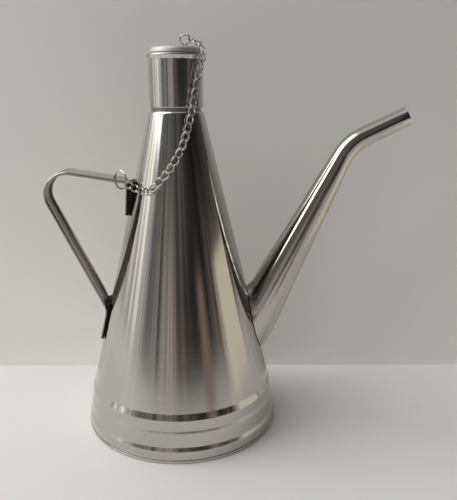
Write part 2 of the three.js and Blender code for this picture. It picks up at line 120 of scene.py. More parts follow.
# The steel: its fine scratches, and the scale, the dark and the bright of its faint patches
SCRATCH = 0.0012 * MM
PATCHES = (16.0, 0.93, 1.05)

# The stage: half the width of floor and backdrop in metres, how far the floor lies under the can,
# and the rays that don't meet what is only there for the steel to mirror
STAGE_HALF = 6.0
FLOOR_DROP = 0.08 * MM
MIRROR_DROP = 0.04 * MM
ONLY_MIRRORED = ("camera", "diffuse", "shadow")

# The room that the steel mirrors: elevations over which the walls change, then pass into the ceiling,
# the ceiling's colour, and how dark and how bright upright bands make the walls
UPPER_WALLS = (3, 20)
CEILING = (52, 74)
CEILING_TINT = (0.66, 0.66, 0.66, 1.0)
BANDS = (0.62, 1.35)


def length(name, description, millimetres):
    return FloatProperty(
        name=name, description=description, default=millimetres * MM, min=0.0, unit="LENGTH", precision=5)


def turn(name, description, degrees):
    return FloatProperty(
        name=name, description=description, default=math.radians(degrees), subtype="ANGLE")


def share(name, description, value):
    return FloatProperty(
        name=name, description=description, default=value, min=0.0, max=1.0, subtype="FACTOR")


def tint(name, description, colour):
    return FloatVectorProperty(
        name=name, description=description, default=colour, size=3, min=0.0, max=1.0, subtype="COLOR")


def spot(name, description, millimetres):
    return FloatVectorProperty(
        name=name, description=description, default=[v * MM for v in millimetres], size=3,
        subtype="XYZ", unit="LENGTH")


class OilCanSizes(bpy.types.PropertyGroup):
    """Sizes of the can's pieces; heights are above the plane that it stands on."""
    sheet: length("Body sheet", "Thickness of the body's steel", 1.0)
    seam: length("Seam", "Air left in soldered and pressed joints", 0.3)
    foot_radius: length("Foot radius", "Radius of the pan's rim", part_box("base_pan")[1].x / MM)
    foot_edge: length("Foot edge", "Height of the pan's rim", 1.6)
    lower_band_top: length("Lower band", "Height of the lower band's top", 6.6)
    lower_band_draft: length("Lower band draft", "How far the lower band leans in", 0.4)
    ledge_height: length("Ledge height", "Height of the lower ledge", 2.6)
    ledge_step: length("Ledge step", "How far the lower ledge steps in", 1.0)
    middle_band_top: length("Middle band", "Height of the middle band's top", 23.9)
    middle_band_inset: length("Middle band inset", "Middle band's top in from the foot", 3.2)
    crease_drop: length("Crease drop", "Crease below the middle band's top", 6.4)
    crease_depth: length("Crease depth", "How far the crease is pressed in", 0.68)
    crease_span: length("Crease span", "Height over which the crease is pressed in", 2.2)
    crease_round: length("Crease round", "Rounding of the crease's edges", 0.7)
    ledge_round: length("Ledge round", "Rounding of the ledges' edges", 0.3)
    cone_foot: length("Cone foot", "Height of the cone's lower edge", 27.1)
    cone_foot_inset: length("Cone foot inset", "Cone's lower edge in from the foot", 4.6)
    shoulder: length("Shoulder", "Height where the cone turns over", 182.4)
    shoulder_out: length("Shoulder reach", "Shoulder beyond the neck", 1.71)
    shoulder_round: length("Shoulder round", "Radius of the shoulder", 2.4)
    rim_round: length("Pan rim round", "Rounding of the pan's rim", 0.15)
    pan_flange: length("Pan flange", "Height of the pan's upturned edge", 5.2)
    bead_radius: length("Pan bead radius", "Radius of the ring pressed into the pan", 33.0)
    bead_width: length("Pan bead width", "Width of the ring pressed into the pan", 6.0)
    bead_rise: length("Pan bead rise", "Rise of the ring pressed into the pan", 0.9)
    bead_round: length("Pan bead round", "Rounding of the ring pressed into the pan", 1.2)
    neck_radius: length("Neck radius", "Outer radius of the neck", 13.7)
    neck_rise: length("Neck rise", "Neck above the shoulder", 13.89)
    neck_skirt: length("Neck skirt", "Neck's skirt inside the shoulder", 7.0)
    cap_sheet: length("Cap sheet", "Thickness of the cap's steel", 0.9)
    cap_fit: length("Cap fit", "Air between neck and cap", 0.35)
    cap_stands_off: length("Cap gap", "Bare neck under the cap", 1.89)
    cap_skirt: length("Cap skirt", "Height of the cap's skirt", 27.2)
    skirt_round: length("Cap skirt round", "Rounding of the skirt's lower edge", 0.3)
    cap_flare: length("Cap flare", "How far the cap's rim flares out", 0.75)
    cap_flare_height: length("Cap flare height", "Height of the flare", 2.0)
    flare_round: length("Cap flare round", "Rounding at the flare's foot", 0.7)
    cap_rim_round: length("Cap rim round", "Rounding of the cap's rim", 0.35)
    lid_inset: length("Lid inset", "Lid's edge in from the skirt's inside", 0.5)
    lid_rise: length("Lid rise", "Lid above the cap's rim", 4.4)
    lid_round: length("Lid round", "Radius of the lid's edge", 2.5)
    lid_step: length("Lid step", "Dome in from the lid's flange", 0.2)
    lid_flange: length("Lid flange", "Radius of the lid's flange", 0.5)
    eye_wire: length("Eye wire", "Thickness of the eye's wire", 0.76)
    eye_offset: length("Eye offset", "Eye from the lid's middle", 5.4)
    eye_radius: length("Eye radius", "Radius of the eye's loop", 2.6)
    eye_lift: length("Eye lift", "Underside of the loop above the lid", 0.55)
    eye_leg: length("Eye leg", "Length of the legs parted under the lid", 2.4)
    eye_bend: length("Eye bend", "Radius of the bends in the eye's legs", 0.68)
    eye_turn: turn("Eye turn", "Eye about the vertical", -25)
    strap_sheet: length("Strap sheet", "Thickness of the handle's steel", 0.9)
    strap_width: length("Strap width", "Width of the handle", 18.0)
    hem_width: length("Hem width", "Width of the handle's folded edges", 3.2)
    hem_chamfer: length("Hem chamfer", "Chamfer of the folded edges", 0.25)
    hem_on_tabs: length("Hem on tabs", "Height of the folds where they are pressed flat", 0.12)
    arm_drop: length("Arm drop", "End of the top arm below the shoulder", 37.01)
    arm_reach: length("Arm reach", "Length of the top arm", 55.4)
    arm_rise: turn("Arm rise", "Top arm above the level", 9.8)
    grip_lean: turn("Grip lean", "Grip from the upright", 24.9)
    grip_round: length("Grip round", "Radius between arm and grip", 13.0)
    upper_tab: length("Upper tab", "Length of the upper tab", 18.9)
    upper_tab_lean: turn("Upper tab lean", "Upper tab from the upright", 7.5)
    lower_tab_end: length("Lower tab end", "Height of the lower tab's end", 54.2)
    tab_round: length("Tab round", "Radius between tab and arm", 3.2)
    lower_round: length("Lower round", "Radius between grip and lower tab", 8.0)
    # The fill up to this gap carries the near-black painted shadow of the tab's gap
    tab_gap: length("Tab gap", "Gap to the cone up to which solder fills the lower tab's end", 2.5)
    ring_wire: length("Ring wire", "Thickness of the jump ring's wire", 1.0)
    ring_radius: length("Ring radius", "Radius of the jump ring", 5.0)
    ring_hole_inset: length("Ring hole inset", "Hole from the arm's end", 7.4)
    ring_hole_side: length("Ring hole side", "Hole from the arm's middle line", 3.9)
    ring_hole_radius: length("Ring hole radius", "Radius of the hole in the arm", 1.5)
    ring_gap: turn("Ring gap", "Open joint of the jump ring", 2.0)
    spout_sheet: length("Spout sheet", "Thickness of the spout's steel", 0.9)
    spout_foot: length("Spout foot", "Height where the spout's axis meets the cone", 60.8)
    spout_rise: turn("Spout rise", "Spout above the level", 63)
    spout_run: length("Spout run", "Spout from the cone to the bend", 117.3)
    spout_tip_rise: turn("Spout tip rise", "Tip above the level", 25)
    spout_tip_run: length("Spout tip run", "Spout from the bend to its mouth", 35.7)
    spout_bend: length("Spout bend", "Radius of the bend", 26.0)
    spout_foot_radius: length("Spout foot radius", "Radius of the spout at the cone", 13.4)
    spout_neck_radius: length("Spout neck radius", "Radius of the spout at the bend", 6.0)
    spout_tip_radius: length("Spout tip radius", "Radius of the spout's mouth", 5.5)
    spout_flare: length("Spout flare", "How far the spout's root turns out in the crotch", 1.3)
    spout_flare_run: length("Spout flare run", "Length over which the root turns out", 7.0)
    spout_tuck: length("Spout tuck", "How far the spout's root draws in under it", 2.0)
    spout_tuck_run: length("Spout tuck run", "Length over which the root draws in", 19.0)
    spout_lip_round: length("Spout lip round", "Rounding of the spout's mouth", 0.2)
    spout_hole_lip: length("Spout hole lip", "Cone left standing inside the spout", 0.8)
    link_wire: length("Link wire", "Thickness of the chain's wire", 0.75)
    link_width: length("Link width", "Outer width of a link", 4.2)
    link_twist: turn("Link twist", "Twist of a link either way from its middle", 45)
    link_blunt: share("Link bluntness", "Below one the link's ends are blunter than an ellipse's", 0.75)


class OilCanFinishes(bpy.types.PropertyGroup):
    """Colours and polish of the can's finishes."""
    body_tint: tint("Body steel", "Colour of the body's steel", (0.55, 0.535, 0.495))
    body_polish: share("Body roughness", "Roughness of the body's steel", 0.095)
    cap_tint: tint("Cap steel", "Colour of the cap's steel", (0.56, 0.55, 0.53))
    cap_polish: share("Cap roughness", "Roughness of the cap's skirt", 0.1)
    lid_polish: share("Lid roughness", "Roughness of the cap's lid", 0.6)
    spout_tint: tint("Spout steel", "Colour of the spout's steel", (0.54, 0.52, 0.48))
    spout_polish: share("Spout roughness", "Roughness of the spout's steel", 0.08)
    handle_tint: tint("Handle steel", "Colour of the handle's steel", (0.40, 0.37, 0.335))
    handle_polish: share("Handle roughness", "Roughness of the handle's steel", 0.2)
    # Painted shade: the strap's inner face and the hems' inner walls are painted darker than the handle
    shaded_inside_tint: tint("Dull steel", "Colour of the strap's unpolished inner face", (0.25, 0.225, 0.2))
    dull_polish: share("Dull roughness", "Roughness of the strap's inner face", 0.36)
    # Painted shadow: near-black colour of the fill in the shaded gaps between the tabs and the cone
    shadow_fill_tint: tint("Solder", "Colour of the dark solder at the tabs", (0.022, 0.02, 0.018))
    shadow_fill_polish: share("Solder roughness", "Roughness of the solder", 0.45)
    wire_tint: tint("Plated wire", "Colour of the chain, the ring and the eye", (0.42, 0.415, 0.405))
    wire_polish: share("Wire roughness", "Roughness of the plated wire", 0.03)
    # Painted shade: the neck under the cap is painted dark
    neck_shade_tint: tint("Bare steel", "Colour of the unpolished neck", (0.28, 0.27, 0.255))
    bare_polish: share("Bare roughness", "Roughness of the unpolished neck", 0.35)


class OilCanStage(bpy.types.PropertyGroup):
    """Floor, backdrop, what the steel mirrors, light and camera."""
    floor_tint: tint("Floor", "Colour of the floor", (0.78, 0.77, 0.755))
    table_half: length("Mirrored floor", "Half the width of the floor that the steel mirrors", 1300.0)
    wall_tint: tint("Backdrop", "Colour of the backdrop", (0.835, 0.82, 0.80))
    # Painted light: the backdrop glows at the floor and fades out up to a height
    wall_painted_glow: share("Backdrop glow", "How much paler the backdrop is at the floor", 0.14)
    wall_painted_glow_height: length("Backdrop glow height", "Height up to which the backdrop is paler", 240.0)
    wall_behind: length("Backdrop distance", "Backdrop behind the can's axis", 62.0)
    wall_left: length("Backdrop's left end", "Mirrored backdrop's reach on the handle's side", 20.0)
    wall_right: length("Backdrop's right end", "Mirrored backdrop's reach on the spout's side", 80.0)
    wall_fade: length("Backdrop's fade", "Width over which the mirrored backdrop thins out", 130.0)
    sky_tint: tint("Surround", "Colour that shows beyond floor and backdrop", (0.45, 0.44, 0.43))
    card_height: length("Card height", "Height of the two cards that the steel mirrors", 138.0)
    card_distance: length("Card distance", "The two cards from the can's axis", 300.0)
    pale_tint: tint("Pale card", "Colour of the card on the spout's side", (0.92, 0.85, 0.71))
    pale_half: length("Pale card half width", "Half the pale card's width", 105.0)
    pale_bearing: turn("Pale card bearing", "Pale card from the front towards the spout", 76)
    pale_edge: length("Pale card edge", "Where the pale card begins, in front of the can", 175.0)
    pale_fade: length("Pale card fade", "Width over which the pale card begins", 60.0)
    brown_tint: tint("Brown card", "Colour of the card in front", (0.3, 0.23, 0.2))
    brown_half: length("Brown card half width", "Half the brown card's width", 55.0)
    brown_bearing: turn("Brown card bearing", "Brown card from the front towards the spout", 32)
    brown_middle: length("Brown card middle", "Brown card's middle beside the can's axis", 160.0)
    brown_reach: length("Brown card reach", "Brown card's faded ends from its middle", 40.0)
    brown_core: length("Brown card core", "Half the width over which it isn't faded", 5.0)
    lamp_place: spot("Lamp", "Middle of the soft lamp", (-540.0, -60.0, 740.0))
    lamp_aim: spot("Lamp aim", "Point that the lamp looks at", (0.0, 0.0, 120.0))
    lamp_width: length("Lamp width", "Width of the lamp", 750.0)
    lamp_height: length("Lamp height", "Height of the lamp", 850.0)
    lamp_power: FloatProperty(
        name="Lamp power", description="Power of the lamp", default=4.9, min=0.0, unit="POWER")
    camera_back: length("Camera distance", "Camera in front of the can's axis", 325.5)
    camera_height: length("Camera height", "Camera above the floor", 190.9)
    camera_pitch: turn("Camera pitch", "How far the camera looks down", 16.24)
    camera_yaw: turn("Camera yaw", "How far the camera looks to the spout's side", 4.49)
    camera_roll: turn("Camera roll", "Camera about its own axis", -0.1)


# Mesh building


def arc(centre, radius, start, end):
    """Points of a round corner in a profile, from one angle to the other."""
    count = max(3, math.ceil(abs(end - start) / ARC_STEP))
    angles = [start + (end - start) * i / count for i in range(count + 1)]
    return [(centre[0] + radius * math.cos(a), centre[1] + radius * math.sin(a)) for a in angles]


def held(profile, gap):
    """Adds points close to the ends of long runs, so that smooth shading stays flat along them."""
    points = [profile[0]]
    for (r0, z0), (r1, z1) in zip(profile, profile[1:]):
        run = math.hypot(r1 - r0, z1 - z0)
        if run > 3 * gap:
            points += [(r0 + (r1 - r0) * k, z0 + (z1 - z0) * k) for k in (gap / run, 1 - gap / run)]
        points.append((r1, z1))
    return points


def spun(profile, closed):
    """Turns a profile of radius and height about the can's axis."""
    bm = bmesh.new()
    verts = [bm.verts.new((r, 0.0, z)) for r, z in profile]
    ends = verts[1:] + verts[:1] if closed else verts[1:]
    edges = [bm.edges.new(pair) for pair in zip(verts, ends)]
    bmesh.ops.spin(
        bm, geom=verts + edges, cent=(0, 0, 0), axis=(0, 0, 1), dvec=(0, 0, 0), angle=2 * math.pi,
        steps=SPIN_STEPS, use_merge=True, use_duplicate=False)
    bmesh.ops.remove_doubles(bm, verts=bm.verts, dist=MERGE)
    bmesh.ops.dissolve_degenerate(bm, edges=bm.edges, dist=MERGE / 10)
    bmesh.ops.recalc_face_normals(bm, faces=bm.faces)
    return bm


def round_rings(bm, corners, width, segments):
    """Bevels the turned edges that pass through corners of a profile."""
    picked = [
        edge for edge in bm.edges
        if any(
            all(abs(v.co.xy.length - r) < NEAR and abs(v.co.z - z) < NEAR for v in edge.verts)
            for r, z in corners)
    ]
    if not picked:
        raise RuntimeError(f"no turned edge at {corners}")
    bmesh.ops.bevel(
        bm, geom=picked, offset=width, offset_type="OFFSET", segments=segments, profile=0.5,
        affect="EDGES", material=-1, clamp_overlap=True)


def swept(section, frames, ring):
    """Extrudes a closed section from frame to frame, and gives the mesh and its rings of vertices."""
    bm = bmesh.new()
    verts = [bm.verts.new(frames[0] @ Vector((x, y, 0.0))) for x, y in section]
    edges = [bm.edges.new(pair) for pair in zip(verts, verts[1:] + verts[:1])]
    first = edges
    rings = [verts]
    for before, after in zip(frames, frames[1:]):
        made = bmesh.ops.extrude_edge_only(bm, edges=edges)["geom"]
        verts = [g for g in made if isinstance(g, bmesh.types.BMVert)]
        edges = [g for g in made if isinstance(g, bmesh.types.BMEdge) and g.is_boundary]
        bmesh.ops.transform(bm, matrix=after @ before.inverted(), space=Matrix(), verts=verts)
        rings.append(verts)
    if ring:
        bmesh.ops.bridge_loops(bm, edges=first + edges)
    else:
        bmesh.ops.edgeloop_fill(bm, edges=first)
        bmesh.ops.edgeloop_fill(bm, edges=edges)
    bmesh.ops.recalc_face_normals(bm, faces=bm.faces)
    return bm, rings


def circle(radius, sides):
    """Corners of a round section."""
    angles = [2 * math.pi * i / sides for i in range(sides)]
    return [(radius * math.cos(a), radius * math.sin(a)) for a in angles]


def rounded_route(corners, radii):
    """Points along straight runs whose corners are rounded."""
    points = [corners[0]]
    for before, corner, after, radius in zip(corners, corners[1:], corners[2:], radii):
        back = (before - corner).normalized()
        on = (after - corner).normalized()
        bend = math.pi - back.angle(on)
        start = corner + back * radius * math.tan(bend / 2)
        centre = corner + (back + on).normalized() * radius / math.cos(bend / 2)
        axis = on.cross(back).normalized()
        count = max(4, math.ceil(bend / ARC_STEP))
        for i in range(count + 1):
            points.append(centre + Matrix.Rotation(bend * i / count, 3, axis) @ (start - centre))
    return points + [corners[-1]]


def spread(points, step):
    """Divides long straight runs of a route into steps."""
    out = [points[0]]
    for a, b in zip(points, points[1:]):
        count = max(1, round((b - a).length / step))
        out += [a.lerp(b, (i + 1) / count) for i in range(count)]
    return out


def walked(points):
    """How far along a route each of its points lies."""
    walk = [0.0]
    for a, b in zip(points, points[1:]):
        walk.append(walk[-1] + (b - a).length)
    return walk


def frame_at(point, heading, across, scale=1.0):
    """Matrix that carries a section's x along across and its z along heading."""
    normal = heading.cross(across).normalized()
    side = normal.cross(heading)
    turned = Matrix((side, normal, heading)).transposed().to_4x4()
    return Matrix.Translation(point) @ turned @ Matrix.Diagonal((scale, scale, 1.0, 1.0))


def headings(points, closed=False):
    """Direction of travel at each point of a route."""
    count = len(points)
    out = []
    for i, point in enumerate(points):
        before = points[i - 1] if i or closed else point
        after = points[(i + 1) % count] if i + 1 < count or closed else point
        into = (point - before).normalized()
        out.append((into + (after - point).normalized()).normalized())
    return out


def combined(obj, bm, operation):
    """Adds a closed shape to a piece, or takes it away."""
    cutter_mesh = bpy.data.meshes.new("cutter")
    bm.to_mesh(cutter_mesh)
    bm.free()
    for coat in obj.data.materials:
        cutter_mesh.materials.append(coat)
    cutter = bpy.data.objects.new("cutter", cutter_mesh)
    bpy.context.scene.collection.objects.link(cutter)
    cut = obj.modifiers.new("Shape", "BOOLEAN")
    cut.operation = operation
    cut.solver = "EXACT"
    cut.object = cutter
    graph = bpy.context.evaluated_depsgraph_get()
    mesh = bpy.data.meshes.new_from_object(obj.evaluated_get(graph))
    obj.modifiers.clear()
    old = obj.data
    name = old.name
    obj.data = mesh
    bpy.data.meshes.remove(old)
    mesh.name = name
    bpy.data.objects.remove(cutter)
    bpy.data.meshes.remove(cutter_mesh)
    smooth(mesh)


def rod(radius, half, sides, place):
    """A plain round cutter about a matrix's z axis."""
    bm = bmesh.new()
    bmesh.ops.create_cone(
        bm, cap_ends=True, segments=sides, radius1=radius, radius2=radius, depth=2 * half, matrix=place)
    return bm


def smooth(mesh):
    """Shades a mesh smooth, apart from its sharp edges."""
    mesh.polygons.foreach_set("use_smooth", [True] * len(mesh.polygons))
    mesh.set_sharp_from_angle(angle=SHARP)


def piece(name, bm, finish, body, node):
    """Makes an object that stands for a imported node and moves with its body."""
    mesh = bpy.data.meshes.new(name)
    bm.to_mesh(mesh)
    bm.free()
    mesh.materials.append(finish)
    smooth(mesh)
    obj = bpy.data.objects.new(name, mesh)
    bpy.context.scene.collection.objects.link(obj)
    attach(obj, body)
    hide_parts(node)
    return obj


def main_axes(node):
    """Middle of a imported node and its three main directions, longest first, as a matrix."""
    mesh = frame["nodes"][node].data
    places = np.empty(len(mesh.vertices) * 3)
    mesh.vertices.foreach_get("co", places)
    places = places.reshape(-1, 3)
    middle = places.mean(axis=0)
    axes = np.linalg.eigh(np.cov((places - middle).T))[1][:, ::-1]
    long, wide = Vector(axes[:, 0]), Vector(axes[:, 1])
    basis = Matrix((long, wide, long.cross(wide))).transposed().to_4x4()
    return Matrix.Translation(Vector(middle)) @ basis


# Places that several pieces share


def cone_radius(s, z):
    """Outer radius of the cone at a height."""
    foot = s.foot_radius - s.cone_foot_inset
    top = s.neck_radius + s.shoulder_out
    return foot - (foot - top) * (z - s.cone_foot) / (s.shoulder - s.cone_foot)


def cone_lean(s):
    """Angle of the cone's side from the upright."""
    return math.atan(cone_radius(s, 0.0) - cone_radius(s, 1.0))


def shoulder_arc(s):
    """Outline of the shoulder, from the cone to the neck."""
    lean = cone_lean(s)
    middle = (
        s.neck_radius + s.shoulder_out - s.shoulder_round * math.cos(lean),
        s.shoulder - s.shoulder_round * math.sin(lean))
    end = math.acos((s.neck_radius + s.seam - middle[0]) / (s.shoulder_round - s.sheet))
    return arc(middle, s.shoulder_round, lean, end)


def spout_root(s):
    """Where the spout's axis meets the cone, and the way that it rises from there."""
    foot = Vector((cone_radius(s, s.spout_foot), 0.0, s.spout_foot))
    return foot, Vector((math.cos(s.spout_rise), 0.0, math.sin(s.spout_rise)))


def heights(s):
    """Heights of the shoulder's top, the neck's top and the cap's bottom, top and lid."""
    shoulder_top = shoulder_arc(s)[-1][1]
    cap_bottom = shoulder_top + s.cap_stands_off
    cap_top = cap_bottom + s.cap_skirt
    return shoulder_top, shoulder_top + s.neck_rise, cap_bottom, cap_top, cap_top + s.lid_rise


# Finishes


def add(tree, kind, sockets=(), **settings):
    """Adds a node with settings, and values or links for its sockets."""
    node = tree.nodes.new(kind)
    for key, value in settings.items():
        setattr(node, key, value)
    for key, value in dict(sockets).items():
        if isinstance(value, bpy.types.NodeSocket):
            tree.links.new(value, node.inputs[key])
        else:
            node.inputs[key].default_value = value
    return node


def ramp(node, stops):
    """Fills a colour ramp from places and colours."""
    band = node.color_ramp
    while len(band.elements) > 1:
        band.elements.remove(band.elements[-1])
    band.elements[0].position, band.elements[0].color = stops[0][0], (*stops[0][1], 1.0)
    for place, colour in stops[1:]:
        band.elements.new(place).color = (*colour, 1.0)


def steel(name, colour, roughness, lines, wave, smudge, drawn=None, streak=0.0, tarnish_and_glints=PATCHES):
    """Polished sheet: fine polishing lines, a slight waviness and faint handling marks.

    lines stretches the polishing noise along x, y and z; wave is the sheet's unevenness;
    drawn is the way that the polishing lines draw out what the steel mirrors;
    streak is the depth of fine streaks that run up a turned piece;
    the last gives the scale of its patches and how dark and how bright they are against the colour: faint
    patches are random tone, strong ones are painted glints and painted shade as well as tarnish.
    """
    made = bpy.data.materials.new(name)
    made.use_nodes = True
    tree = made.node_tree
    shader = tree.nodes["Principled BSDF"]
    shader.inputs["Metallic"].default_value = 1.0
    place = add(tree, "ShaderNodeTexCoord").outputs["Object"]
    stretched = add(tree, "ShaderNodeMapping", {"Vector": place, "Scale": lines}).outputs["Vector"]
    polish = add(tree, "ShaderNodeTexNoise", {
        "Vector": stretched, "Scale": 1.0, "Detail": 5.0, "Roughness": 0.6}).outputs["Fac"]
    marks = add(tree, "ShaderNodeTexNoise", {
        "Vector": place, "Scale": 55.0, "Detail": 6.0, "Roughness": 0.62, "Distortion": 0.4}).outputs["Fac"]
    patches = add(tree, "ShaderNodeTexNoise", {
        "Vector": place, "Scale": tarnish_and_glints[0], "Detail": 2.0}).outputs["Fac"]
    rub = add(tree, "ShaderNodeMapRange", {
        "Value": marks, "From Min": 0.42, "From Max": 0.72,
        "To Min": 0.0, "To Max": smudge}).outputs["Result"]
    grain = add(tree, "ShaderNodeMapRange", {
        "Value": polish, "From Min": 0.25, "From Max": 0.75,
        "To Min": roughness * 0.82, "To Max": roughness * 1.22}).outputs["Result"]
    rough = add(tree, "ShaderNodeMath", {0: grain, 1: rub}, operation="ADD").outputs["Value"]
    tree.links.new(rough, shader.inputs["Roughness"])
    shade = add(tree, "ShaderNodeValToRGB", {"Fac": patches})
    _, dark, bright = tarnish_and_glints
    ramp(shade, [(0.3, [c * dark for c in colour]), (0.7, [min(1.0, c * bright) for c in colour])])
    tree.links.new(shade.outputs["Color"], shader.inputs["Base Color"])
    uneven = add(tree, "ShaderNodeTexNoise", {
        "Vector": place, "Scale": 38.0, "Detail": 1.0}).outputs["Fac"]
    sheet = add(tree, "ShaderNodeBump", {
        "Height": uneven, "Strength": 1.0, "Distance": wave}).outputs["Normal"]
    if streak:
        flat = add(tree, "ShaderNodeVectorMath", {
            0: place, 1: (1.0, 1.0, 0.0)}, operation="MULTIPLY").outputs["Vector"]
        about = add(tree, "ShaderNodeVectorMath", {0: flat}, operation="NORMALIZE").outputs["Vector"]
        streaks = add(tree, "ShaderNodeTexNoise", {
            "Vector": about, "Scale": 24.0, "Detail": 4.0, "Roughness": 0.55}).outputs["Fac"]
        sheet = add(tree, "ShaderNodeBump", {
            "Height": streaks, "Normal": sheet, "Strength": 1.0, "Distance": streak}).outputs["Normal"]
    scratch = add(tree, "ShaderNodeBump", {
        "Height": polish, "Normal": sheet, "Strength": 1.0, "Distance": SCRATCH}).outputs["Normal"]
    tree.links.new(scratch, shader.inputs["Normal"])
    if drawn:
        way = add(tree, "ShaderNodeCombineXYZ", dict(enumerate(drawn))).outputs["Vector"]
        tree.links.new(way, shader.inputs["Tangent"])
        shader.inputs["Anisotropic"].default_value = 1.0
    return made


def finish(context, name):
    """The finish of that name, made on first use."""
    if name in bpy.data.materials:
        return bpy.data.materials[name]
    f = context.scene.oil_can_finishes
    around = (25.0, 25.0, 2600.0)
    along = (25.0, 2600.0, 25.0)
    every = (700.0, 700.0, 700.0)
    upright = (0.0, 0.0, 1.0)
    sloping = (0.55, 0.0, 0.83)
    made = {
        "polished_body": dict(
            colour=f.body_tint, roughness=f.body_polish, lines=around, wave=0.03 * MM, smudge=0.012,
            drawn=upright, streak=0.014 * MM),
        "satin_cap": dict(
            colour=f.cap_tint, roughness=f.cap_polish, lines=around, wave=0.01 * MM, smudge=0.02,
            drawn=upright, streak=0.005 * MM),
        "satin_lid": dict(
            colour=f.cap_tint, roughness=f.lid_polish, lines=every, wave=0.01 * MM, smudge=0.05),
        "polished_spout": dict(
            colour=f.spout_tint, roughness=f.spout_polish, lines=every, wave=0.03 * MM, smudge=0.015,
            drawn=sloping),
        "brushed_handle": dict(
            colour=f.handle_tint, roughness=f.handle_polish, lines=along, wave=0.01 * MM, smudge=0.06),
        # Rougher steel painted darker as shade on the strap's inner face and the hems' inner walls
        "dull_inside_painted_shade": dict(
            colour=f.shaded_inside_tint, roughness=f.dull_polish, lines=along, wave=0.01 * MM, smudge=0.06),
        # Near-black painted shadow in the gaps between the tabs and the cone
        "painted_shadow_fill": dict(
            colour=f.shadow_fill_tint, roughness=f.shadow_fill_polish, lines=every, wave=0.02 * MM, smudge=0.1),
        # The wire's strong dark and bright patches are painted glints and painted shade as well as tarnish
        "plated_wire": dict(
            colour=f.wire_tint, roughness=f.wire_polish, lines=every, wave=0.0, smudge=0.05,
            tarnish_and_glints=(420.0, 0.2, 1.8)),
        # Rough neck steel, painted dark as the shade under the cap
        "rough_neck_painted_shade": dict(
            colour=f.neck_shade_tint, roughness=f.bare_polish, lines=around, wave=0.02 * MM, smudge=0.08),
    }[name]
    return steel(name, **made)


# Pieces


class OILCAN_OT_body(bpy.types.Operator):
    """Turns the conical body with its two ledges and its shoulder, and cuts the spout's hole"""
    bl_idname = "oil_can.body"
    bl_label = "Body"

    def execute(self, context):
        s = context.scene.oil_can_sizes
        middle_foot = (
            s.foot_radius - s.lower_band_draft - s.ledge_step, s.lower_band_top + s.ledge_height)
        middle_top = (s.foot_radius - s.middle_band_inset, s.middle_band_top)
        crease_z = s.middle_band_top - s.crease_drop
        along = (crease_z - middle_foot[1]) / (middle_top[1] - middle_foot[1])
        crease_r = middle_foot[0] + (middle_top[0] - middle_foot[0]) * along
        creases = [
            (crease_r + s.crease_depth / 2, crease_z - s.crease_span / 2),
            (crease_r - s.crease_depth / 2, crease_z + s.crease_span / 2)]
        lower_top = (s.foot_radius - s.lower_band_draft, s.lower_band_top)
        cone_foot = (s.foot_radius - s.cone_foot_inset, s.cone_foot)
        outline = [
            (s.foot_radius - s.seam, s.foot_edge + s.seam), lower_top, middle_foot, *creases, middle_top,
            cone_foot, *shoulder_arc(s)]
        bm = spun(held(outline, BODY_HOLD), False)
        if bm.faces[0].normal.dot(bm.faces[0].calc_center_median() * Vector((1, 1, 0))) < 0:
            bmesh.ops.reverse_faces(bm, faces=bm.faces)
        round_rings(bm, [lower_top, middle_foot, middle_top, cone_foot], s.ledge_round, 3)
        round_rings(bm, creases, s.crease_round, 4)
        bmesh.ops.solidify(bm, geom=bm.faces[:], thickness=s.sheet)
        obj = piece("cone_body", bm, finish(context, "polished_body"), "can", "body_shell")
        foot, rise = spout_root(s)
        place = Matrix.Translation(foot) @ rise.to_track_quat("Z", "Y").to_matrix().to_4x4()
        radius = s.spout_foot_radius - s.spout_sheet - s.spout_hole_lip
        combined(obj, rod(radius, 2 * radius, SPOUT_SIDES, place), "DIFFERENCE")
        return {"FINISHED"}


class OILCAN_OT_base(bpy.types.Operator):
    """Turns the bottom pan with its rim, its pressed ring and its upturned flange"""
    bl_idname = "oil_can.base"
    bl_label = "Base pan"

    def execute(self, context):
        s = context.scene.oil_can_sizes
        flange = s.foot_radius - s.seam - s.sheet - s.seam
        inner, outer = s.bead_radius - s.bead_width / 2, s.bead_radius + s.bead_width / 2
        rim = [(s.foot_radius, 0.0), (s.foot_radius, s.foot_edge)]
        under = [(0.0, 0.0), (inner, 0.0), (s.bead_radius, s.bead_rise), (outer, 0.0)]
        inside = [
            (flange, s.foot_edge), (flange, s.pan_flange), (flange - s.sheet, s.pan_flange),
            (flange - s.sheet, s.sheet)]
        over = [(r, z + s.sheet) for r, z in reversed(under)]
        bm = spun(held([*under, *rim, *inside, *over], PAN_HOLD), False)
        round_rings(bm, rim, s.rim_round, 2)
        round_rings(bm, under[1:] + over[:3], s.bead_round, 4)
        piece("bottom_pan", bm, finish(context, "polished_body"), "can", "base_pan")
        return {"FINISHED"}


class OILCAN_OT_neck(bpy.types.Operator):
    """Turns the neck that the cap slides on, with its skirt under the shoulder"""
    bl_idname = "oil_can.neck"
    bl_label = "Neck"

    def execute(self, context):
        s = context.scene.oil_can_sizes
        top = heights(s)[1]
        wall = s.sheet / math.cos(cone_lean(s)) + s.seam
        skirt_foot, skirt_top = s.shoulder - s.neck_skirt, s.shoulder - s.shoulder_round
        lip = s.cap_sheet / 2
        outline = [
            (cone_radius(s, skirt_foot) - wall, skirt_foot),
            (max(cone_radius(s, skirt_top) - wall, s.neck_radius), skirt_top),
            (s.neck_radius, s.shoulder - s.sheet), (s.neck_radius, top - lip),
            (s.neck_radius - s.cap_sheet / 3, top)]
        inside = [(r - s.cap_sheet, z) for r, z in reversed(outline)]
        bm = spun(held([*outline, *inside], TUBE_HOLD), True)
        # The neck's finish is painted shade for the gap under the cap
        piece("neck_tube", bm, finish(context, "rough_neck_painted_shade"), "can", "neck_collar")
        return {"FINISHED"}


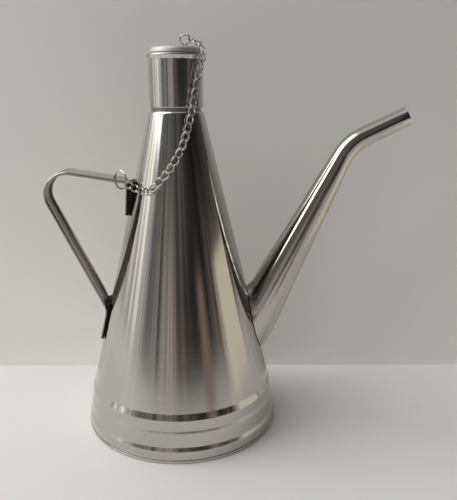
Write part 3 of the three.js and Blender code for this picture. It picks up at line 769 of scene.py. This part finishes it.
class OILCAN_OT_cap_skirt(bpy.types.Operator):
    """Turns the cap's straight skirt with its flared rim"""
    bl_idname = "oil_can.cap_skirt"
    bl_label = "Cap skirt"

    def execute(self, context):
        s = context.scene.oil_can_sizes
        _, _, bottom, top, _ = heights(s)
        inside = s.neck_radius + s.cap_fit
        outside = inside + s.cap_sheet
        rim = outside + s.cap_flare
        lip = s.cap_sheet / 2
        flare_foot = (outside, top - s.cap_flare_height)
        flare_top = (rim, top - s.cap_sheet)
        profile = [
            (inside, bottom), (outside, bottom), flare_foot, flare_top, (rim, top), (inside + lip, top),
            (inside, top - s.cap_sheet)]
        bm = spun(held(profile, TUBE_HOLD), True)
        round_rings(bm, [(outside, bottom), (inside, bottom)], s.skirt_round, 3)
        round_rings(bm, [flare_foot], s.flare_round, 5)
        round_rings(bm, [flare_top, (rim, top)], s.cap_rim_round, 4)
        piece("cap_skirt", bm, finish(context, "satin_cap"), "cap", "cap_sleeve")
        return {"FINISHED"}


class OILCAN_OT_cap_lid(bpy.types.Operator):
    """Turns the domed lid with its flange and plug, and drills it for the eye"""
    bl_idname = "oil_can.cap_lid"
    bl_label = "Cap lid"

    def execute(self, context):
        s = context.scene.oil_can_sizes
        _, neck_top, _, cap_top, lid_top = heights(s)
        inside = s.neck_radius + s.cap_fit
        plug, edge = inside - s.seam, inside - s.lid_inset
        seat = cap_top + s.seam
        flange = s.lid_flange
        dome = edge - s.lid_step
        dome_z = lid_top - s.lid_round - s.cap_sheet / 2
        crown = arc((dome - s.lid_round, dome_z), s.lid_round, 0.0, LID_TURN)
        rise = lid_top - crown[-1][1]
        top = [(crown[-1][0] * k, lid_top - rise * k * k) for k in DOME_STEPS]
        plug_foot = neck_top + s.seam
        profile = [
            (plug, plug_foot), (plug, cap_top - s.cap_sheet), (plug - s.seam, seat),
            *arc((edge - flange, seat + s.seam + flange), flange, *FLANGE_TURN),
            *crown, *top, (0.0, lid_top - s.cap_sheet),
            (dome - s.lid_round, dome_z + s.lid_round - s.cap_sheet),
            (plug - s.cap_sheet, seat - s.seam), (plug - s.cap_sheet, plug_foot)]
        profile.append(profile[0])
        bm = spun(held(profile, LID_HOLD), False)
        obj = piece("cap_top", bm, finish(context, "satin_lid"), "cap", "cap_lid")
        both_legs = s.eye_wire + s.seam / 2
        place = Matrix.Translation((s.eye_offset, 0.0, lid_top))
        combined(obj, rod(both_legs + s.seam, s.lid_rise / 2, HOLE_SIDES, place), "DIFFERENCE")
        return {"FINISHED"}


class OILCAN_OT_cap_eye(bpy.types.Operator):
    """Bends the wire eye whose legs pass the lid together and part below it"""
    bl_idname = "oil_can.cap_eye"
    bl_label = "Cap eye"

    def execute(self, context):
        s = context.scene.oil_can_sizes
        lid_top = heights(s)[4]
        lid_edge = s.neck_radius + s.cap_fit - s.lid_inset
        lid_at_eye = lid_top - s.cap_sheet / 2 * s.eye_offset / lid_edge
        centre_z = lid_at_eye + s.eye_lift + s.eye_radius
        out = Vector((math.cos(s.eye_turn), math.sin(s.eye_turn), 0.0))
        leg = (s.eye_wire + s.seam) / 2
        below = lid_at_eye - s.cap_sheet - s.eye_wire / 2 - s.seam
        radius = s.eye_radius
        half = [
            (leg + s.eye_leg, below), (leg, below), (leg, centre_z - EYE_THROAT * radius),
            (EYE_BELLY[0] * radius, centre_z - EYE_BELLY[1] * radius), (EYE_TOP * radius, centre_z + radius)]
        outline = half + [(-x, z) for x, z in reversed(half)]
        corners = [Vector((s.eye_offset, 0.0, z)) + out * x for x, z in outline]
        legs, loop = [s.eye_bend] * 2, [EYE_CURL * radius] * 4
        points = rounded_route(corners, legs + loop + legs)
        across = Vector((-out.y, out.x, 0.0))
        frames = [frame_at(p, h, across) for p, h in zip(points, headings(points))]
        bm, _ = swept(circle(s.eye_wire / 2, WIRE_SIDES), frames, False)
        piece("cap_wire_eye", bm, finish(context, "plated_wire"), "cap", "cap_eye")
        return {"FINISHED"}


def strap_corners(s):
    """Corners of the strap's outer face, from the upper tab round to the lower one."""
    off = (s.strap_sheet + s.hem_on_tabs + s.seam) / math.cos(cone_lean(s))
    arm_z = heights(s)[0] - s.arm_drop
    tab_z = arm_z - s.upper_tab
    tab_x = cone_radius(s, tab_z) + off
    arm_x = tab_x - s.upper_tab * math.tan(s.upper_tab_lean)
    grip_x, grip_z = arm_x + s.arm_reach, arm_z + s.arm_reach * math.tan(s.arm_rise)
    low_x = cone_radius(s, s.lower_tab_end) + off
    lean, slope = math.tan(s.grip_lean), math.tan(cone_lean(s))
    meet_z = (low_x + lean * grip_z + slope * s.lower_tab_end - grip_x) / (lean + slope)
    meet_x = low_x - slope * (meet_z - s.lower_tab_end)
    tab_x -= (s.strap_sheet + s.hem_on_tabs) / math.cos(cone_lean(s))
    places = [(tab_x, tab_z), (arm_x, arm_z), (grip_x, grip_z), (meet_x, meet_z), (low_x, s.lower_tab_end)]
    return [Vector((-x, 0.0, z)) for x, z in places]


def strap_edge(s):
    """Half of the strap's section: one folded edge, from the outer face round to the inner one."""
    half = s.strap_width / 2
    fold = half - s.hem_width
    nose, chamfer = s.strap_sheet, s.hem_chamfer
    return [
        (half - nose, 0.0), *arc((half - nose, nose), nose, -NOSE_TURN, NOSE_TURN),
        (half - nose, 2 * nose), (fold + chamfer, 2 * nose), (fold, 2 * nose - chamfer),
        (fold, nose + chamfer), (fold - chamfer, nose)]


def press_hems(s, rings, frames, walk, grip_end):
    """Presses the folded edges flat on the two tabs."""
    fold = s.strap_width / 2 - s.hem_width - s.hem_chamfer / 2
    for verts, at, place in zip(rings, frames, walk):
        on_arm = min(1.0, max(0.0, (place - s.upper_tab + s.tab_round) / (2 * s.tab_round)))
        on_grip = min(1.0, max(0.0, (grip_end - place) / s.lower_round))
        hem = s.hem_on_tabs + (s.strap_sheet - s.hem_on_tabs) * on_arm * on_grip
        squeeze = (s.strap_sheet + hem) / (2 * s.strap_sheet)
        back = at.inverted()
        for vert in verts:
            here = back @ vert.co
            if abs(here.x) > fold:
                here.y *= squeeze
            vert.co = at @ here


def to_body(s, at, side, level, way):
    """How far a line from a tab's face, so far to one side, runs to the cone less the seam."""
    reach = 0.0
    for _ in range(CLOSING_STEPS):
        p = at @ Vector((side, level + way * reach, 0.0))
        reach += p.xy.length - cone_radius(s, p.z) - s.seam / math.cos(cone_lean(s))
    return reach


def shadow_fill(s, frames, level, way):
    """A fill of a tab's gap to the cone, less the seam, that carries the near-black painted shadow of that
    gap.
    """
    half = s.strap_width / 2 - s.hem_on_tabs
    columns = [half * i / SOLDER_COLUMNS for i in range(-SOLDER_COLUMNS, SOLDER_COLUMNS + 1)]
    section = [(x, 0.0) for x in columns] + [(x, 1.0) for x in reversed(columns)]
    bm, rings = swept(section, frames, False)
    for verts, at in zip(rings, frames):
        back = at.inverted()
        for vert in verts:
            here = back @ vert.co
            reach = to_body(s, at, here.x, level, way) if here.y > 0.5 else -s.seam
            vert.co = at @ Vector((here.x, level + way * reach, 0.0))
    bmesh.ops.recalc_face_normals(bm, faces=bm.faces)
    # The whole fill takes the painted shadow finish
    for face in bm.faces:
        face.material_index = SHADOW_FILL
    return bm


class OILCAN_OT_handle(bpy.types.Operator):
    """Carries the folded strap from the upper tab round the grip to the lower tab"""
    bl_idname = "oil_can.handle"
    bl_label = "Handle"

    def execute(self, context):
        s = context.scene.oil_can_sizes
        corners = strap_corners(s)
        points = spread(rounded_route(corners, [s.tab_round, s.grip_round, s.lower_round]), STRAP_STEP)
        across = Vector((0.0, 1.0, 0.0))
        frames = [frame_at(p, h, across) for p, h in zip(points, headings(points))]
        edge = strap_edge(s)
        bm, rings = swept(edge + [(-x, y) for x, y in reversed(edge)], frames, False)
        walk = walked(points)
        grip_end = walk[-1] - (corners[4] - corners[3]).length
        press_hems(s, rings, frames, walk, grip_end)
        bmesh.ops.recalc_face_normals(bm, faces=bm.faces)
        # Faces between the hems on the inner side get the darker finish, which is painted shade
        inner = range(len(edge) - HEM_POINTS, len(edge) + HEM_POINTS)
        between_hems = {ring[k] for ring in rings for k in inner}
        for face in bm.faces:
            if between_hems.issuperset(face.verts):
                face.material_index = SHADED_INSIDE
        first, *others = [finish(context, name) for name in STRAP_FINISHES]
        obj = piece("handle_band", bm, first, "can", "handle_strap")
        for other in others:
            obj.data.materials.append(other)
        stations = list(zip(frames, walk))
        upper = [f for f, place in stations if place < s.upper_tab - s.tab_round / 2]
        level = s.strap_sheet + s.hem_on_tabs
        lower = [
            f for f, place in stations
            if place > grip_end - s.lower_round and to_body(s, f, 0.0, level, 1) < s.tab_gap]
        # Fill the tabs' gaps to the cone with painted shadow
        combined(obj, shadow_fill(s, upper, 0.0, -1), "UNION")
        combined(obj, shadow_fill(s, lower, level, 1), "UNION")
        hole = Matrix.Translation(corners[1] + Vector((
            -s.ring_hole_inset, -s.ring_hole_side, s.ring_hole_inset * math.tan(s.arm_rise))))
        combined(obj, rod(s.ring_hole_radius, s.strap_width / 4, HOLE_SIDES, hole), "DIFFERENCE")
        return {"FINISHED"}


class OILCAN_OT_ring(bpy.types.Operator):
    """Bends the jump ring in the handle's arm, open by a hair at its joint"""
    bl_idname = "oil_can.ring"
    bl_label = "Jump ring"

    def execute(self, context):
        s = context.scene.oil_can_sizes
        place = main_axes("handle_ring")
        bm = bmesh.new()
        start = Matrix.Translation((s.ring_radius, 0, 0)) @ Matrix.Rotation(math.pi / 2, 4, "X")
        made = bmesh.ops.create_circle(
            bm, cap_ends=False, segments=WIRE_SIDES, radius=s.ring_wire / 2, matrix=start)
        geom = made["verts"] + bm.edges[:]
        loop = bm.edges[:]
        spin = bmesh.ops.spin(
            bm, geom=geom, cent=(0, 0, 0), axis=(0, 0, 1), dvec=(0, 0, 0),
            angle=2 * math.pi - s.ring_gap, steps=RING_STEPS, use_merge=False, use_duplicate=False)
        last = [g for g in spin["geom_last"] if isinstance(g, bmesh.types.BMEdge)]
        bmesh.ops.edgeloop_fill(bm, edges=loop)
        bmesh.ops.edgeloop_fill(bm, edges=last)
        bmesh.ops.recalc_face_normals(bm, faces=bm.faces)
        bmesh.ops.transform(bm, matrix=place, space=Matrix(), verts=bm.verts)
        piece("handle_jump_ring", bm, finish(context, "plated_wire"), "ring", "handle_ring")
        return {"FINISHED"}


class OILCAN_OT_spout(bpy.types.Operator):
    """Draws the tapered spout from its turned-out root on the cone to its square mouth"""
    bl_idname = "oil_can.spout"
    bl_label = "Spout"

    def execute(self, context):
        s = context.scene.oil_can_sizes
        foot, rise = spout_root(s)
        level = Vector((math.cos(s.spout_tip_rise), 0.0, math.sin(s.spout_tip_rise)))
        bend = foot + rise * s.spout_run
        tip = bend + level * s.spout_tip_run
        ahead = ROOT_REACH * s.spout_foot_radius
        points = spread(rounded_route([foot + rise * ahead, bend, tip], [s.spout_bend]), SPOUT_STEP)
        walk = walked(points)
        run = s.spout_run - s.spout_bend * math.tan(abs(s.spout_rise - s.spout_tip_rise) / 2)
        taper = (s.spout_foot_radius - s.spout_neck_radius) / run

        def tapered(along):
            """Radius of the straight taper, so far along it from the cone."""
            return s.spout_neck_radius + taper * (run - along)

        def radius_at(place):
            """Radius of the spout, so far along the route."""
            past_taper = place + ahead - run
            if past_taper < 0:
                return tapered(place + ahead)
            on_tip = past_taper / (walk[-1] + ahead - run)
            return s.spout_neck_radius + (s.spout_tip_radius - s.spout_neck_radius) * on_tip

        across = Vector((0.0, 1.0, 0.0))
        steps = list(zip(points, headings(points), map(radius_at, walk)))
        outside = [frame_at(p, h, across, r) for p, h, r in steps]
        inside = [frame_at(p, h, across, r - s.spout_sheet) for p, h, r in reversed(steps)]
        frames = [outside[0]] * len(ROOT_RINGS) + outside + inside + [inside[-1]]
        bm, rings = swept(circle(1.0, SPOUT_SIDES), frames, True)
        wall = s.seam / math.cos(cone_lean(s))
        slope = math.tan(cone_lean(s))

        def to_cone(spoke, extra):
            """How far along the axis a line of the taper, so much further out, meets the cone."""
            along = 0.0
            for _ in range(CLOSING_STEPS):
                p = foot + spoke * (tapered(along) + extra)
                reach = cone_radius(s, p.z) + wall
                a = rise.xy.dot(rise.xy) - (slope * rise.z) ** 2
                b = 2 * (rise.xy.dot(p.xy) + slope * rise.z * reach)
                c = p.xy.dot(p.xy) - reach * reach
                along = (-b + math.sqrt(b * b - 4 * a * c)) / (2 * a)
            return along

        up = rise.cross(across)
        stations = [(ring, out * MM, 0.0) for ring, out in zip(rings, ROOT_RINGS)]
        stations.append((rings[-1], 0.0, s.spout_sheet))
        for ring, out, thinner in stations:
            for vert in ring:
                spoke = vert.co - points[0]
                spoke = (spoke - rise * spoke.dot(rise)).normalized()
                flare = s.spout_flare * max(0.0, spoke.dot(up)) ** 1.5
                tuck = s.spout_tuck * max(0.0, -spoke.dot(up)) ** 1.5
                along = to_cone(spoke, flare - tuck - thinner) + out
                flare *= max(0.0, 1.0 - out / s.spout_flare_run) ** 2
                tuck *= max(0.0, 1.0 - out / s.spout_tuck_run) ** 2
                vert.co = foot + rise * along + spoke * (tapered(along) + flare - tuck - thinner)
        bmesh.ops.recalc_face_normals(bm, faces=bm.faces)
        mouth = len(ROOT_RINGS) + len(outside)
        lips = {
            edge for ring in rings[mouth - 1:mouth + 1] for vert in ring for edge in vert.link_edges
            if edge.other_vert(vert) in ring}
        bmesh.ops.bevel(
            bm, geom=list(lips), offset=s.spout_lip_round, offset_type="OFFSET", segments=3, profile=0.5,
            affect="EDGES", material=-1, clamp_overlap=True)
        piece("spout_pipe", bm, finish(context, "polished_spout"), "can", "spout_tube")
        return {"FINISHED"}


class OILCAN_OT_chain(bpy.types.Operator):
    """Bends one twisted oval link and lays a copy in the place of each packed link"""
    bl_idname = "oil_can.chain"
    bl_label = "Chain"

    def execute(self, context):
        s = context.scene.oil_can_sizes
        names = sorted(n for n in frame["nodes"] if n.startswith("chain_link_"))
        if not names:
            raise RuntimeError("the packed model has no chain links")
        behaviour = frame["record"]["behaviour"]
        bodies = {node: body for body, nodes in behaviour["bodies"].items() for node in nodes}
        first = main_axes(names[0])
        corners = frame["nodes"][names[0]].data.vertices
        half_long = max(abs((first.inverted() @ v.co).x) for v in corners) - s.link_wire / 2
        half_wide = (s.link_width - s.link_wire) / 2
        points = []
        for i in range(LINK_STEPS):
            angle = 2 * math.pi * i / LINK_STEPS
            along, out = math.cos(angle), math.sin(angle)
            out = math.copysign(abs(out) ** s.link_blunt, out) * half_wide
            twist = s.link_twist * along
            points.append(Vector((half_long * along, out * math.cos(twist), out * math.sin(twist))))
        frames = []
        for point, heading in zip(points, headings(points, True)):
            outwards = point - heading * point.dot(heading)
            frames.append(frame_at(point, heading, outwards.normalized()))
        link, _ = swept(circle(s.link_wire / 2, WIRE_SIDES), frames, True)
        for name in names:
            bm = link.copy()
            bmesh.ops.transform(bm, matrix=main_axes(name), space=Matrix(), verts=bm.verts)
            wire = finish(context, "plated_wire")
            piece(name.replace("chain_", "oval_"), bm, wire, bodies[name], name)
        link.free()
        return {"FINISHED"}


# Stage


def plane(name, half, place, material, hidden_from):
    """A flat square of the stage that some kinds of rays don't meet."""
    bm = bmesh.new()
    bmesh.ops.create_grid(bm, x_segments=1, y_segments=1, size=half, matrix=place)
    mesh = bpy.data.meshes.new(name)
    bm.to_mesh(mesh)
    bm.free()
    mesh.materials.append(material)
    obj = bpy.data.objects.new(name, mesh)
    bpy.context.scene.collection.objects.link(obj)
    for rays in hidden_from:
        setattr(obj, f"visible_{rays}", False)


def matt(name, colour, one_sided, fades=(), glow=None):
    """Plain matt paint; a one-sided sheet isn't seen from behind.

    fades are an axis, where the sheet is gone and where it is whole, for each edge that thins out;
    glow is the strength of the light painted on the sheet at the floor, and the height up to which it fades
    out.
    """
    made = bpy.data.materials.new(name)
    made.use_nodes = True
    tree = made.node_tree
    shader = tree.nodes["Principled BSDF"]
    shader.inputs["Base Color"].default_value = (*colour, 1.0)
    shader.inputs["Roughness"].default_value = 0.9
    shader.inputs["Specular IOR Level"].default_value = 0.1
    place = add(tree, "ShaderNodeSeparateXYZ", {
        "Vector": add(tree, "ShaderNodeTexCoord").outputs["Object"]}).outputs
    # Painted light: the sheet glows at the floor and fades out upward
    if glow:
        strength, top = glow
        painted_glow = add(tree, "ShaderNodeMapRange", {
            "Value": place["Z"], "From Min": 0.0, "From Max": top,
            "To Min": strength, "To Max": 0.0}).outputs["Result"]
        tree.links.new(painted_glow, shader.inputs["Emission Strength"])
        shader.inputs["Emission Color"].default_value = (*colour, 1.0)
    if one_sided:
        behind = add(tree, "ShaderNodeNewGeometry").outputs["Backfacing"]
        for axis, gone, whole in fades:
            thin = add(tree, "ShaderNodeMapRange", {
                "Value": place[axis], "From Min": gone, "From Max": whole,
                "To Min": 1.0, "To Max": 0.0}).outputs["Result"]
            behind = add(tree, "ShaderNodeMath", {0: behind, 1: thin}, operation="MAXIMUM").outputs["Value"]
        clear = add(tree, "ShaderNodeBsdfTransparent").outputs["BSDF"]
        both = add(tree, "ShaderNodeMixShader", {0: behind, 1: shader.outputs["BSDF"], 2: clear})
        tree.links.new(both.outputs["Shader"], tree.nodes["Material Output"].inputs["Surface"])
    return made


def lamp(name, place, target, size, watts):
    """A soft rectangular light that looks at a point."""
    data = bpy.data.lights.new(name, "AREA")
    data.shape = "RECTANGLE"
    data.size, data.size_y = size
    data.energy = watts
    obj = bpy.data.objects.new(name, data)
    obj.location = place
    obj.rotation_euler = (Vector(target) - Vector(place)).to_track_quat("-Z", "Y").to_euler()
    bpy.context.scene.collection.objects.link(obj)


def card(t, name, colour, half, bearing, fades):
    """A low card by the can that only the steel mirrors."""
    place = (
        Matrix.Rotation(bearing, 4, "Z") @ Matrix.Translation((0, -t.card_distance, t.card_height / 2))
        @ Matrix.Rotation(-math.pi / 2, 4, "X")
        @ Matrix.Diagonal((1.0, t.card_height / 2 / half, 1.0, 1.0)))
    plane(name, half, place, matt(name, colour, True, fades), ONLY_MIRRORED)


def surround(scene, backdrop):
    """A room for the steel to mirror: a window to the left, dim in front, pale behind and above."""
    world = bpy.data.worlds.new("room")
    scene.world = world
    world.use_nodes = True
    tree = world.node_tree
    tree.nodes.clear()
    way = add(tree, "ShaderNodeSeparateXYZ", {
        "Vector": add(tree, "ShaderNodeTexCoord").outputs["Generated"]}).outputs
    front = add(tree, "ShaderNodeMath", {0: way["Y"], 1: -1.0}, operation="MULTIPLY").outputs["Value"]
    bearing = add(tree, "ShaderNodeMath", {0: way["X"], 1: front}, operation="ARCTAN2").outputs["Value"]
    around = add(tree, "ShaderNodeMapRange", {
        "Value": bearing, "From Min": -math.pi, "From Max": math.pi}).outputs["Result"]

    def zone(stops):
        """Colours round the room; 0 degrees is in front, minus is the handle's side."""
        band = add(tree, "ShaderNodeValToRGB", {"Fac": around})
        ramp(band, [((degrees + 180) / 360, colour) for degrees, colour in stops])
        return band.outputs["Color"]

    def above(lower, upper, elevations):
        """Passes from one zone to the next between two elevations in degrees."""
        start, end = [math.sin(math.radians(degrees)) for degrees in elevations]
        rise = add(tree, "ShaderNodeMapRange", {
            "Value": way["Z"], "From Min": start, "From Max": end},
            interpolation_type="SMOOTHSTEP").outputs["Result"]
        return add(tree, "ShaderNodeMix", {"Factor": rise, 6: lower, 7: upper}, data_type="RGBA").outputs[2]

    def grey(level):
        return (level, 0.98 * level, 0.95 * level)

    wall = (0.60, 0.59, 0.58)
    walls = zone([
        (-180, wall), (-146, grey(0.8)), (-124, grey(0.5)), (-112, grey(0.36)), (-99, grey(0.7)),
        (-78, grey(0.92)), (-66, (0.78, 0.80, 0.82)), (-58, (0.21, 0.23, 0.25)), (-48, grey(0.18)),
        (-42, grey(0.34)), (-36, grey(0.12)), (-22, grey(0.4)), (-14, (0.42, 0.36, 0.33)),
        (-6, (0.18, 0.14, 0.13)), (8, grey(0.03)), (20, grey(0.02)), (43, grey(0.03)),
        (57, (0.12, 0.1, 0.09)), (65, (0.08, 0.06, 0.05)), (80, grey(0.06)), (98, grey(0.1)),
        (112, grey(0.16)), (124, grey(0.08)), (146, grey(0.08)), (160, grey(0.42)), (180, wall)])
    upper = zone([
        (-180, wall), (-150, grey(0.8)), (-112, grey(1.0)), (-92, grey(1.5)), (-76, grey(1.2)),
        (-68, grey(0.5)), (-60, grey(0.18)), (-46, grey(0.14)), (-20, grey(0.13)), (20, grey(0.06)),
        (36, grey(0.015)), (64, grey(0.012)), (80, grey(0.03)), (98, grey(0.05)), (118, grey(0.13)),
        (150, grey(0.35)), (180, wall)])
    clutter = add(tree, "ShaderNodeTexNoise", {
        "W": bearing, "Scale": 7.0, "Detail": 3.0, "Roughness": 0.6}, noise_dimensions="1D").outputs["Fac"]
    dark, bright = BANDS
    bands = add(tree, "ShaderNodeMapRange", {
        "Value": clutter, "From Min": 0.44, "From Max": 0.56,
        "To Min": dark, "To Max": bright}).outputs["Result"]
    sides = add(tree, "ShaderNodeVectorMath", {
        "Vector": above(walls, upper, UPPER_WALLS), "Scale": bands}, operation="SCALE").outputs["Vector"]
    room = above(sides, CEILING_TINT, CEILING)
    light = add(tree, "ShaderNodeBackground", {"Color": room, "Strength": 1.0})
    seen = add(tree, "ShaderNodeBackground", {"Color": (*backdrop, 1.0), "Strength": 1.0})
    camera = add(tree, "ShaderNodeLightPath").outputs["Is Camera Ray"]
    both = add(tree, "ShaderNodeMixShader", {
        0: camera, 1: light.outputs["Background"], 2: seen.outputs["Background"]})
    out = add(tree, "ShaderNodeOutputWorld")
    tree.links.new(both.outputs["Shader"], out.inputs["Surface"])


class OILCAN_OT_stage(bpy.types.Operator):
    """Lays the floor, hangs the backdrop, and sets the light and the camera"""
    bl_idname = "oil_can.stage"
    bl_label = "Stage"

    def execute(self, context):
        scene = context.scene
        t = scene.oil_can_stage
        scene.view_settings.view_transform = "Standard"
        paint = matt("pale_floor", t.floor_tint, False)
        plane("floor", STAGE_HALF, Matrix.Translation((0, 0, -FLOOR_DROP)), paint, ["glossy"])
        plane("mirrored_floor", t.table_half, Matrix.Translation((0, 0, -MIRROR_DROP)), paint, ONLY_MIRRORED)
        square_on = Matrix.Rotation(-t.camera_yaw, 4, "Z")
        upright = square_on @ Matrix.Translation((0, t.wall_behind, 0)) @ Matrix.Rotation(math.pi / 2, 4, "X")
        # The backdrop carries painted light near the floor
        paint = matt("pale_backdrop", t.wall_tint, True, glow=(t.wall_painted_glow, t.wall_painted_glow_height))
        plane("backdrop", STAGE_HALF, upright, paint, ["glossy", "diffuse", "shadow"])
        paint = matt("fading_backdrop", t.wall_tint, True, [
            ("X", -t.wall_left - t.wall_fade, -t.wall_left),
            ("X", t.wall_right + t.wall_fade, t.wall_right)])
        plane("mirrored_backdrop", STAGE_HALF, upright, paint, ONLY_MIRRORED)
        card(t, "pale_card", t.pale_tint, t.pale_half, t.pale_bearing, [
            ("Y", -t.pale_edge, t.pale_fade - t.pale_edge)])
        card(t, "brown_card", t.brown_tint, t.brown_half, t.brown_bearing, [
            ("X", t.brown_middle - t.brown_reach, t.brown_middle - t.brown_core),
            ("X", t.brown_middle + t.brown_reach, t.brown_middle + t.brown_core)])
        surround(scene, t.sky_tint)
        lamp("window", t.lamp_place, t.lamp_aim, (t.lamp_width, t.lamp_height), t.lamp_power)
        data = bpy.data.cameras.new("camera")
        data.sensor_fit = "AUTO"
        data.sensor_width = SENSOR
        data.lens = PHOTO_FOCAL / max(PHOTO_SIZE) * SENSOR
        data.shift_x = (PHOTO_SIZE[0] / 2 - PHOTO_CENTRE[0]) / max(PHOTO_SIZE)
        data.shift_y = (PHOTO_CENTRE[1] - PHOTO_SIZE[1] / 2) / max(PHOTO_SIZE)
        data.clip_start, data.clip_end = CLIP
        camera = bpy.data.objects.new("camera", data)
        camera.location = (0.0, -t.camera_back, t.camera_height)
        look = (
            square_on @ Matrix.Rotation(math.pi / 2 - t.camera_pitch, 4, "X")
            @ Matrix.Rotation(t.camera_roll, 4, "Z"))
        camera.rotation_euler = look.to_euler()
        scene.collection.objects.link(camera)
        scene.camera = camera
        return {"FINISHED"}


OPERATORS = (
    OILCAN_OT_body, OILCAN_OT_base, OILCAN_OT_neck, OILCAN_OT_cap_skirt, OILCAN_OT_cap_lid, OILCAN_OT_cap_eye,
    OILCAN_OT_handle, OILCAN_OT_ring, OILCAN_OT_spout, OILCAN_OT_chain, OILCAN_OT_stage)


class OILCAN_PT_build(bpy.types.Panel):
    """Sidebar panel with one button for each piece"""
    bl_idname = "OILCAN_PT_build"
    bl_label = "Oil can"
    bl_space_type = "VIEW_3D"
    bl_region_type = "UI"
    bl_category = "Oil can"

    def draw(self, context):
        for operator in OPERATORS:
            self.layout.operator(operator.bl_idname)


GROUPS = (OilCanSizes, OilCanFinishes, OilCanStage)


def register():
    for cls in (*GROUPS, *OPERATORS, OILCAN_PT_build):
        bpy.utils.register_class(cls)
    bpy.types.Scene.oil_can_sizes = PointerProperty(type=OilCanSizes)
    bpy.types.Scene.oil_can_finishes = PointerProperty(type=OilCanFinishes)
    bpy.types.Scene.oil_can_stage = PointerProperty(type=OilCanStage)


def unregister():
    del bpy.types.Scene.oil_can_sizes, bpy.types.Scene.oil_can_finishes, bpy.types.Scene.oil_can_stage
    for cls in reversed((*GROUPS, *OPERATORS, OILCAN_PT_build)):
        bpy.utils.unregister_class(cls)


def main():
    register()
    for operator in OPERATORS:
        group, name = operator.bl_idname.split(".")
        getattr(getattr(bpy.ops, group), name)()


if __name__ == "__main__":
    main()
